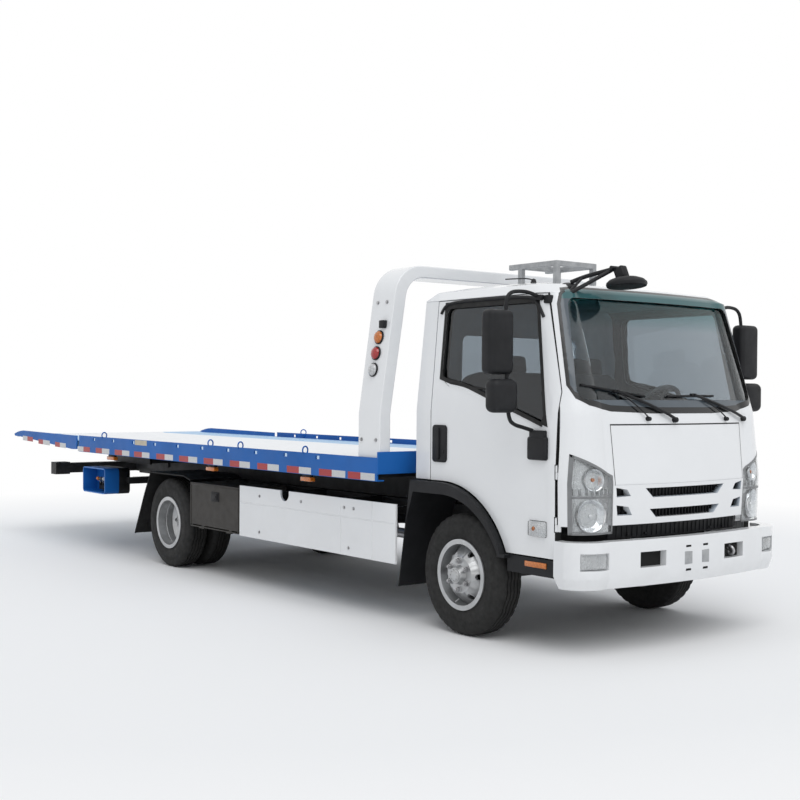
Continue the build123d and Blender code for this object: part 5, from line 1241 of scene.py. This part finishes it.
class TRUCK_OT_build_mirrors(bpy.types.Operator):
    """Builds the door mirrors on their looped arms and the look-down mirror over the nose"""
    bl_idname = "truck.build_mirrors"
    bl_label = "Build mirrors"

    HEADS = (  # low corner and high corner, corner rounding
        ((3.520, -1.240, 1.620), (3.622, -1.052, 1.992), 0.034),
        ((3.552, -1.240, 1.400), (3.660, -1.048, 1.594), 0.042),
    )
    ARMS = (
        ((3.625, -0.915, 1.296), (3.612, -0.965, 1.312), (3.606, -1.045, 1.330), (3.602, -1.085, 1.365),
         (3.600, -1.090, 1.450)),
        ((3.580, -1.090, 1.940), (3.576, -1.090, 2.045), (3.572, -1.055, 2.096), (3.572, -0.985, 2.108),
         (3.585, -0.900, 2.104), (3.592, -0.838, 2.078)),
    )
    ARM_R = 0.0115
    BRACKET = ((3.590, 1.125), (3.744, 1.262))
    LOOKDOWN = (
        (-0.030, 0.0), (-0.030, 0.100), (-0.027, 0.116), (-0.016, 0.121), (-0.004, 0.119), (0.012, 0.102),
        (0.024, 0.070), (0.030, 0.035), (0.032, 0.0))
    LOOKDOWN_FOOT = ((-0.020, 0.046), (0.004, 0.046), (0.010, 0.038), (0.012, 0.0))
    LOOKDOWN_ARMS = (  # route from the tip, radius
        (((3.742, -0.50, 2.232), (3.662, -0.552, 2.208), (3.612, -0.60, 2.178)), 0.013),
        (((3.752, -0.59, 2.168), (3.690, -0.705, 2.094), (3.662, -0.755, 2.078), (3.640, -0.802, 2.074)), 0.012),
    )

    def execute(self, context):
        tree = surface_of("right_door")
        for name, side in SIDES.items():
            shell, glass = bmesh.new(), bmesh.new()
            for low, high, rounding in self.HEADS:
                add_box(shell, low, high, rounding, 5)
                add_box(glass, (low[0] - 0.001, low[1] + rounding, low[2] + rounding),
                        (low[0] + 0.004, high[1] - rounding, high[2] - rounding), 0.0008)
            for arm in self.ARMS:
                add_pipe(shell, arm, self.ARM_R)
            add_rod(shell, (3.590, -1.090, 1.560), (3.590, -1.090, 1.660), 0.012)
            (x0, z0), (x1, z1) = self.BRACKET
            y = side_y(tree, (x0 + x1) / 2, z1)
            add_box(shell, (x0, y - 0.032, z0), (x1, y + 0.012, z1), 0.016, 4)
            add_box(shell, (x0 + 0.016, y - 0.028, z1 - 0.020), (x1 - 0.012, y + 0.012, z1 + 0.036), 0.008, 3)
            add_box(shell, (3.560, -0.862, 2.060), (3.622, -0.818, 2.092), 0.006, 3)
            body = name + "_door_body"
            piece = finish_side(shell, side, name + "_mirror_shells", "plastic", body, "black_plastic", 50)
            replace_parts(piece, name + "_mirror")
            finish_side(glass, side, name + "_mirror_glass", "mirror", body, "rim_silver")
        self.build_lookdown()
        return {"FINISHED"}

    def build_lookdown(self):
        bm = bmesh.new()
        up = Vector((-0.10, 0.03, 1)).normalized()
        add_turned(bm, self.LOOKDOWN, (3.922, -0.45, 2.170), up, 48)
        turn = Matrix.Rotation(radians(-24), 3, "Y")
        add_box(bm, (3.846, -0.478, 2.186), (3.916, -0.422, 2.262), 0.012, 4, turn)
        add_rod(bm, (3.838, -0.495, 2.256), (3.838, -0.405, 2.256), 0.013, 16, None, 0.002)
        tip = (3.830, -0.45, 2.256)
        for route, radius in self.LOOKDOWN_ARMS:
            add_pipe(bm, [tip, *route], radius)
        add_rod(bm, (3.664, -0.552, 2.206), (3.688, -0.712, 2.090), 0.009)
        add_turned(bm, self.LOOKDOWN_FOOT, (3.605, -0.605, 2.160), (0.25, -0.2, 1), 32)
        add_box(bm, (3.622, -0.835, 2.040), (3.668, -0.790, 2.090), 0.008, 3)
        piece = finish_piece(bm, "lookdown_mirror_built", "plastic", "chassis", "black_plastic", 50)
        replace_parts(piece, "lookdown_mirror")


class TRUCK_OT_dress_cabin(bpy.types.Operator):
    """Pads the seats and fits the dashboard's dials, vents and screen"""
    bl_idname = "truck.dress_cabin"
    bl_label = "Dress cabin"

    SEATS = (("driver", 0.14, 0.66), ("passenger", -0.74, 0.06))
    DIAL = ((0.0, 0.0), (0.0, 0.052), (0.006, 0.058), (0.002, 0.062))

    def execute(self, context):
        for name, low, high in self.SEATS:
            self.pad_seat(name, low, high)
        bases = bmesh.new()
        for _, low, high in self.SEATS:
            add_box(bases, (2.80, low + 0.03, 1.004), (3.28, high - 0.03, 1.062), 0.012)
        finish_piece(bases, "seat_bases", "plastic", "chassis", "black_plastic")
        self.fit_dash()
        return {"FINISHED"}

    def pad_seat(self, name, low, high):
        middle, width = (low + high) / 2, high - low
        pads = (  # what it is, centre, size, lean
            ("cushion", (3.090, middle, 1.122), (0.460, width, 0.140), 3),
            ("back", (2.838, middle, 1.400), (0.130, width, 0.500), -10),
            ("headrest", (2.775, middle, 1.700), (0.100, min(width * 0.55, 0.30), 0.120), -8),
        )
        for part, centre, size, lean in pads:
            bm = bmesh.new()
            bmesh.ops.create_cube(bm, size=1.0)
            round_edges(bm, bm.edges[:], 0.16, 3)
            long_edges = [edge for edge in bm.edges if edge.calc_length() > 0.3]
            bmesh.ops.subdivide_edges(bm, edges=long_edges, cuts=5, use_grid_fill=True)
            thin = min(range(3), key=lambda axis: size[axis])
            wide = [axis for axis in range(3) if axis != thin]
            for vertex in bm.verts:
                first, second = (abs(vertex.co[axis]) * 2 for axis in wide)
                crown = (1 - min(first, 1) ** 2) * (1 - min(second, 1) ** 2)
                seam = 0.07 if abs(abs(vertex.co[1]) - 0.27) < 0.05 else 0.0
                vertex.co[thin] *= 0.86 + 0.30 * crown - seam
            bmesh.ops.scale(bm, vec=size, verts=bm.verts)
            bmesh.ops.rotate(bm, matrix=Matrix.Rotation(radians(lean), 3, "Y"), verts=bm.verts)
            bmesh.ops.translate(bm, vec=centre, verts=bm.verts)
            piece = finish_piece(bm, f"{name}_{part}", "cloth", "chassis", "seat_cloth", 60)
            smooth = piece.modifiers.new("Soft form", "SUBSURF")
            smooth.levels = smooth.render_levels = 1
            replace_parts(piece, "seats")

    def fit_dash(self):
        low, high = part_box("dashboard")
        detail, dials = bmesh.new(), bmesh.new()
        rear, top = low.x, high.z
        add_box(detail, (rear - 0.012, 0.230, top - 0.055), (rear + 0.150, 0.570, top + 0.050), 0.024, 4)
        for y in (0.310, 0.490):
            add_turned(dials, self.DIAL, (rear - 0.012, y, top - 0.002), (-1, 0, 0), 40)
        for y in (-0.62, -0.30, 0.02):
            add_box(detail, (rear - 0.010, y, top - 0.120), (rear + 0.010, y + 0.120, top - 0.055), 0.006)
            for index in range(4):
                z = top - 0.110 + index * 0.015
                add_box(dials, (rear - 0.014, y + 0.010, z), (rear - 0.006, y + 0.110, z + 0.004))
        add_box(dials, (rear - 0.008, -0.130, top - 0.120), (rear + 0.010, 0.000, top - 0.040), 0.004)
        finish_piece(detail, "dash_parts", "plastic", "chassis", "dash_grey")
        finish_piece(dials, "dash_dials", "frit", "chassis", "dash_grey")


class TRUCK_OT_dress_sides(bpy.types.Operator):
    """Fits lid latches, guard bolts, control levers, rear lamp lenses and rear mudguards"""
    bl_idname = "truck.dress_sides"
    bl_label = "Dress sides"

    GUARD_BOLTS = ((1.845, 0.715), (1.957, 0.715), (0.72, 0.715), (0.72, 0.44), (1.90, 0.44), (1.30, 0.715))
    EDGING = 0.010
    CONTROL_DEPTH = 0.140
    KNOB = ((-0.020, 0.0), (-0.015, 0.012), (0.0, 0.019), (0.015, 0.015), (0.022, 0.0))
    MUDGUARD = ((0.430, 0.772), (0.320, 0.800), (-0.300, 0.800), (-0.420, 0.600), (-0.610, 0.235))  # from the axle
    REAR_FIELDS = (("amber", 0.0, 0.32), ("red", 0.33, 0.66), ("lens", 0.67, 1.0))  # shares of the width
    LEVERS = ((-2.276, "amber"), (-2.210, "dash"), (-2.142, "tape_white"), (-2.070, "dash"))

    def execute(self, context):
        for name, side in SIDES.items():
            latch, body = bmesh.new(), name + "_lid"
            y = side_y(surface_of("right_box_lid"), 0.03, 0.66)
            add_box(latch, (-0.028, y - 0.006, 0.622), (0.097, y + 0.004, 0.700), 0.006, 3)
            add_box(latch, (-0.012, y - 0.013, 0.634), (0.081, y - 0.004, 0.688), 0.005, 3)
            add_rod(latch, (0.062, y - 0.012, 0.661), (0.062, y - 0.017, 0.661), 0.009, 20, None, 0.001)
            finish_side(latch, side, name + "_latch", "plastic", body, "black_plastic")
            edging = bmesh.new()
            low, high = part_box("right_box_lid")
            wide = self.EDGING
            base = Vector((low.x + wide, y, low.z + wide))
            long, tall = high.x - low.x - 2 * wide, high.z - low.z - 2 * wide
            for x0, z0, x1, z1 in (
                    (0, 0, long, wide), (0, tall - wide, long, tall),
                    (0, 0, wide, tall), (long - wide, 0, long, tall)):
                add_box(edging, base + Vector((x0, -0.003, z0)), base + Vector((x1, 0.002, z1)), 0.002)
            finish_side(edging, side, name + "_lid_edging", "box", body, "box_grey")
        bolts = bmesh.new()
        tree = surface_of("side_guards")
        for x, z in self.GUARD_BOLTS:
            y = side_y(tree, x, z)
            add_rod(bolts, (x, y + 0.001, z), (x, y - 0.002, z), 0.012, 20)
            add_rod(bolts, (x, y - 0.002, z), (x, y - 0.008, z), 0.008, 6, None, 0.001)
        finish_both("chassis", (bolts, "guard_bolts", "steel", "steel_grey"))
        self.fit_levers()
        self.light_rear()
        self.bend_mudguards()
        return {"FINISHED"}

    def bend_mudguards(self):
        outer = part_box("rear_mudguards")[1].y
        lower = [(REAR_AXLE_X + x, -outer, z) for x, z in self.MUDGUARD]
        upper = [(x - (0.006 if z < 0.7 else 0), y, z + (0.006 if z > 0.5 else 0)) for x, y, z in lower]
        guard, lips = bmesh.new(), bmesh.new()
        for start, end, end_above, start_above in zip(lower, lower[1:], upper[1:], upper):
            add_plate(guard, (start, end, end_above, start_above), (0, outer - 0.515, 0))
            add_rod(lips, start, end, 0.006, 12)
        for x in (-0.44, -0.57):
            z = 0.600 + (x + 0.42) * 365 / 190
            for y in (-0.62, -0.90):
                along = REAR_AXLE_X + x
                add_rod(lips, (along - 0.014, y, z + 0.004), (along + 0.006, y, z - 0.004), 0.012, 6)
        for piece in finish_both(
                "chassis", (guard, "bent_mudguards", "rubber", "black_plastic"),
                (lips, "mudguard_lips", "rubber", "black_plastic")):
            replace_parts(piece, "rear_mudguards")

    def fit_levers(self):
        stems, banks, panel, rear, rim = (bmesh.new() for _ in range(5))
        low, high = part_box("control_boxes")
        outer, split = high.y, high.y - self.CONTROL_DEPTH

        def on_rim(middle, normal):
            return normal.y < -0.9 and middle.y < 0.004 - outer

        add_box(panel, (low.x + 0.011, -split, low.z + 0.011), (high.x - 0.011, -split + 0.006, high.z - 0.011))
        behind = [((0, -split, 0), (0, -1, 0))]
        add_lifted(rear, copy_skin("control_boxes", lambda middle, normal: middle.y < 0, behind), 0.0012)
        # The outward rims carry painted light: a lighter blue where the light falls on them.
        add_lifted(rim, copy_skin("control_boxes", on_rim), TRIM_LIFT)
        finish_both(
            "chassis", (panel, "control_panels", "blue", "bed_blue"),
            (rear, "control_box_backs", "frame", "frame_black"), (rim, "control_box_rims", "blue_edge", "bed_blue"))
        add_box(banks, (-2.330, -split - 0.035, 0.570), (-2.030, -split + 0.002, 0.645), 0.006)
        for x, finish in self.LEVERS:
            knob = bmesh.new()
            add_rod(stems, (x, -split - 0.030, 0.620), (x, -split - 0.062, 0.668), 0.005, 12)
            add_turned(knob, self.KNOB, (x, -split - 0.066, 0.676), (0, -0.6, 0.8), 24)
            finish_both("chassis", (knob, f"lever_knobs_{abs(round(x * 1000))}", finish, "lamp_red", 60))
            add_rod(banks, (x, -split - 0.030, 0.612), (x, -split - 0.046, 0.634), 0.014, 20, None, 0.002)
        finish_both(
            "chassis", (stems, "lever_stems", "steel", "steel_grey"),
            (banks, "valve_banks", "plastic", "black_plastic"))

    def light_rear(self):
        low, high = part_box("rear_lamps")
        frames = bmesh.new()
        inner, outer = -high.y + 0.268, -high.y + 0.012
        for finish, start, end in self.REAR_FIELDS:
            lens = bmesh.new()
            y0, y1 = outer + (inner - outer) * start, outer + (inner - outer) * end
            add_box(lens, (low.x - 0.008, y0, low.z + 0.012), (low.x + 0.004, y1, high.z - 0.012), 0.004, 3)
            finish_both("chassis", (lens, "rear_lens_" + finish, finish, "lamp_red"))
        y0, y1 = -high.y + 0.004, -high.y + 0.276
        add_box(frames, (low.x - 0.003, y0, low.z + 0.004), (low.x + 0.004, y1, high.z - 0.004), 0.002)
        finish_both("chassis", (frames, "rear_lamp_frames", "plastic", "black_plastic"))


class TRUCK_OT_dress_winch(bpy.types.Operator):
    """Winds the rope on the winch drum and sets the aerial on the roof"""
    bl_idname = "truck.dress_winch"
    bl_label = "Dress winch"

    FLANGE, BARREL_SHARE, ROPE_PITCH = 0.040, 0.56, 0.0125
    AERIAL_PLACE = (3.190, -0.50, 2.192)
    AERIAL_FOOT = ((0.0, 0.030), (0.010, 0.029), (0.018, 0.020), (0.040, 0.013), (0.046, 0.0))
    AERIAL = ((3.190, -0.50, 2.226), (3.150, -0.50, 2.240), (3.050, -0.50, 2.246), (2.930, -0.50, 2.250))

    def execute(self, context):
        low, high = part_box("winch_drum")
        middle = (low + high) / 2
        barrel = (high.z - low.z) / 2 * self.BARREL_SHARE
        rope, aerial = bmesh.new(), bmesh.new()
        width = high.y - low.y - 2 * self.FLANGE
        turns = int(width / self.ROPE_PITCH)
        for index in range(turns):
            y = low.y + self.FLANGE + (index + 0.5) * width / turns
            add_ring(rope, (middle.x, y, middle.z), (0.02, 1, 0), barrel, 0.0062, 40, 10)
        finish_piece(rope, "wound_rope", "steel", "winch_drum_body", "steel_grey", 60)
        add_turned(aerial, self.AERIAL_FOOT, self.AERIAL_PLACE, (0, 0, 1), 28)
        add_pipe(aerial, self.AERIAL, 0.004)
        finish_piece(aerial, "roof_aerial", "plastic", "chassis", "black_plastic", 50)
        return {"FINISHED"}


class TRUCK_OT_set_stage(bpy.types.Operator):
    """Lays the pale floor, lights it softly and sets the camera"""
    bl_idname = "truck.set_stage"
    bl_label = "Set stage"

    def execute(self, context):
        settings = context.scene.truck_stage
        self.lay_floor(settings)
        self.light(context, settings)
        self.set_camera(context, settings)
        context.scene.view_settings.view_transform = "Standard"
        return {"FINISHED"}

    def seen_rays(self, material):
        """1 for rays that the picture, gloss or glass shows."""
        path = make_node(material, "ShaderNodeLightPath")
        outlet = path.outputs["Is Camera Ray"]
        for name in ("Is Glossy Ray", "Is Transmission Ray"):
            outlet = combine(material, "MAXIMUM", outlet, path.outputs[name])
        return outlet

    def lay_floor(self, settings):
        bm = bmesh.new()
        bmesh.ops.create_circle(bm, cap_ends=True, segments=96, radius=settings.floor_radius)
        mesh = bpy.data.meshes.new("floor")
        bm.to_mesh(mesh)
        bm.free()
        material = plain_finish("pale_floor", (0.90, 0.90, 0.90), 0.9)
        distance = make_node(material, "ShaderNodeVectorMath", {"operation": "LENGTH"})
        join(material, place_coordinates(material), distance.inputs[0])
        far = spread(material, distance.outputs["Value"], settings.floor_fade * 0.6, settings.floor_fade)
        seen = combine(material, "MULTIPLY", far, self.seen_rays(material))
        glow = make_node(material, "ShaderNodeEmission", inputs={"Color": (1, 1, 1, 1), "Strength": 1.0})
        paint = shader_of(material).outputs["BSDF"]
        mix_shaders(material, seen, paint, glow.outputs["Emission"], "Material Output")
        mesh.materials.append(material)
        floor = bpy.data.objects.new("floor", mesh)
        bpy.context.scene.collection.objects.link(floor)

    def light(self, context, settings):
        world = bpy.data.worlds.new("even_sky")
        world.use_nodes = True
        context.scene.world = world
        even = world.node_tree.nodes["Background"]
        even.inputs["Color"].default_value = (0.93, 0.96, 1.0, 1)
        even.inputs["Strength"].default_value = settings.sky
        white = make_node(world, "ShaderNodeBackground", inputs={"Color": (1, 1, 1, 1), "Strength": 1.0})
        mix_shaders(
            world, self.seen_rays(world), even.outputs["Background"], white.outputs["Background"], "World Output")
        sun = bpy.data.lights.new("soft_sun", "SUN")
        sun.energy = settings.sun
        sun.angle = radians(50)
        lamp = bpy.data.objects.new("soft_sun", sun)
        lamp.rotation_euler = Vector((-0.62, 0.28, -1.0)).to_track_quat("-Z", "Y").to_euler()
        context.scene.collection.objects.link(lamp)

    def set_camera(self, context, settings):
        ahead = Vector((
            -sin(settings.azimuth) * cos(settings.dip), cos(settings.azimuth) * cos(settings.dip), -sin(settings.dip)))
        right = Vector((cos(settings.azimuth), sin(settings.azimuth), 0))
        up = right.cross(ahead)
        across = right * cos(settings.roll) + up * sin(settings.roll)
        upright = up * cos(settings.roll) - right * sin(settings.roll)
        data = bpy.data.cameras.new("photo_view")
        data.lens = settings.lens
        data.sensor_width = 36
        data.shift_x, data.shift_y = settings.shift
        camera = bpy.data.objects.new("photo_view", data)
        turn = Matrix((across, upright, -ahead)).transposed().to_4x4()
        camera.matrix_world = Matrix.Translation(settings.camera_place) @ turn
        context.scene.collection.objects.link(camera)
        context.scene.camera = camera


OPERATORS = (
    TRUCK_OT_paint_solids, TRUCK_OT_build_tyres, TRUCK_OT_fit_wheels, TRUCK_OT_trim_bed, TRUCK_OT_light_gantry,
    TRUCK_OT_build_headlamps, TRUCK_OT_dress_front, TRUCK_OT_frame_windows, TRUCK_OT_dress_doors,
    TRUCK_OT_build_mirrors, TRUCK_OT_dress_cabin, TRUCK_OT_dress_sides, TRUCK_OT_dress_winch, TRUCK_OT_set_stage,
)


class TRUCK_PT_pieces(bpy.types.Panel):
    """Lists the truck's pieces in the order in which they are made"""
    bl_label = "Recovery truck"
    bl_space_type = "VIEW_3D"
    bl_region_type = "UI"
    bl_category = "Truck"

    def draw(self, context):
        for operator in OPERATORS:
            self.layout.operator(operator.bl_idname)
        for group in (context.scene.truck_colours, context.scene.truck_sizes, context.scene.truck_stage):
            for name in group.__annotations__:
                self.layout.prop(group, name)


CLASSES = (TruckColours, TruckSizes, StageSettings, *OPERATORS, TRUCK_PT_pieces)
GROUPS = {"truck_colours": TruckColours, "truck_sizes": TruckSizes, "truck_stage": StageSettings}


def register():
    for cls in CLASSES:
        bpy.utils.register_class(cls)
    for name, group in GROUPS.items():
        setattr(bpy.types.Scene, name, PointerProperty(type=group))


def unregister():
    for name in GROUPS:
        delattr(bpy.types.Scene, name)
    for cls in reversed(CLASSES):
        bpy.utils.unregister_class(cls)


def main():
    register()
    for operator in OPERATORS:
        group, name = operator.bl_idname.split(".")
        getattr(getattr(bpy.ops, group), name)()


if __name__ == "__main__":
    main()
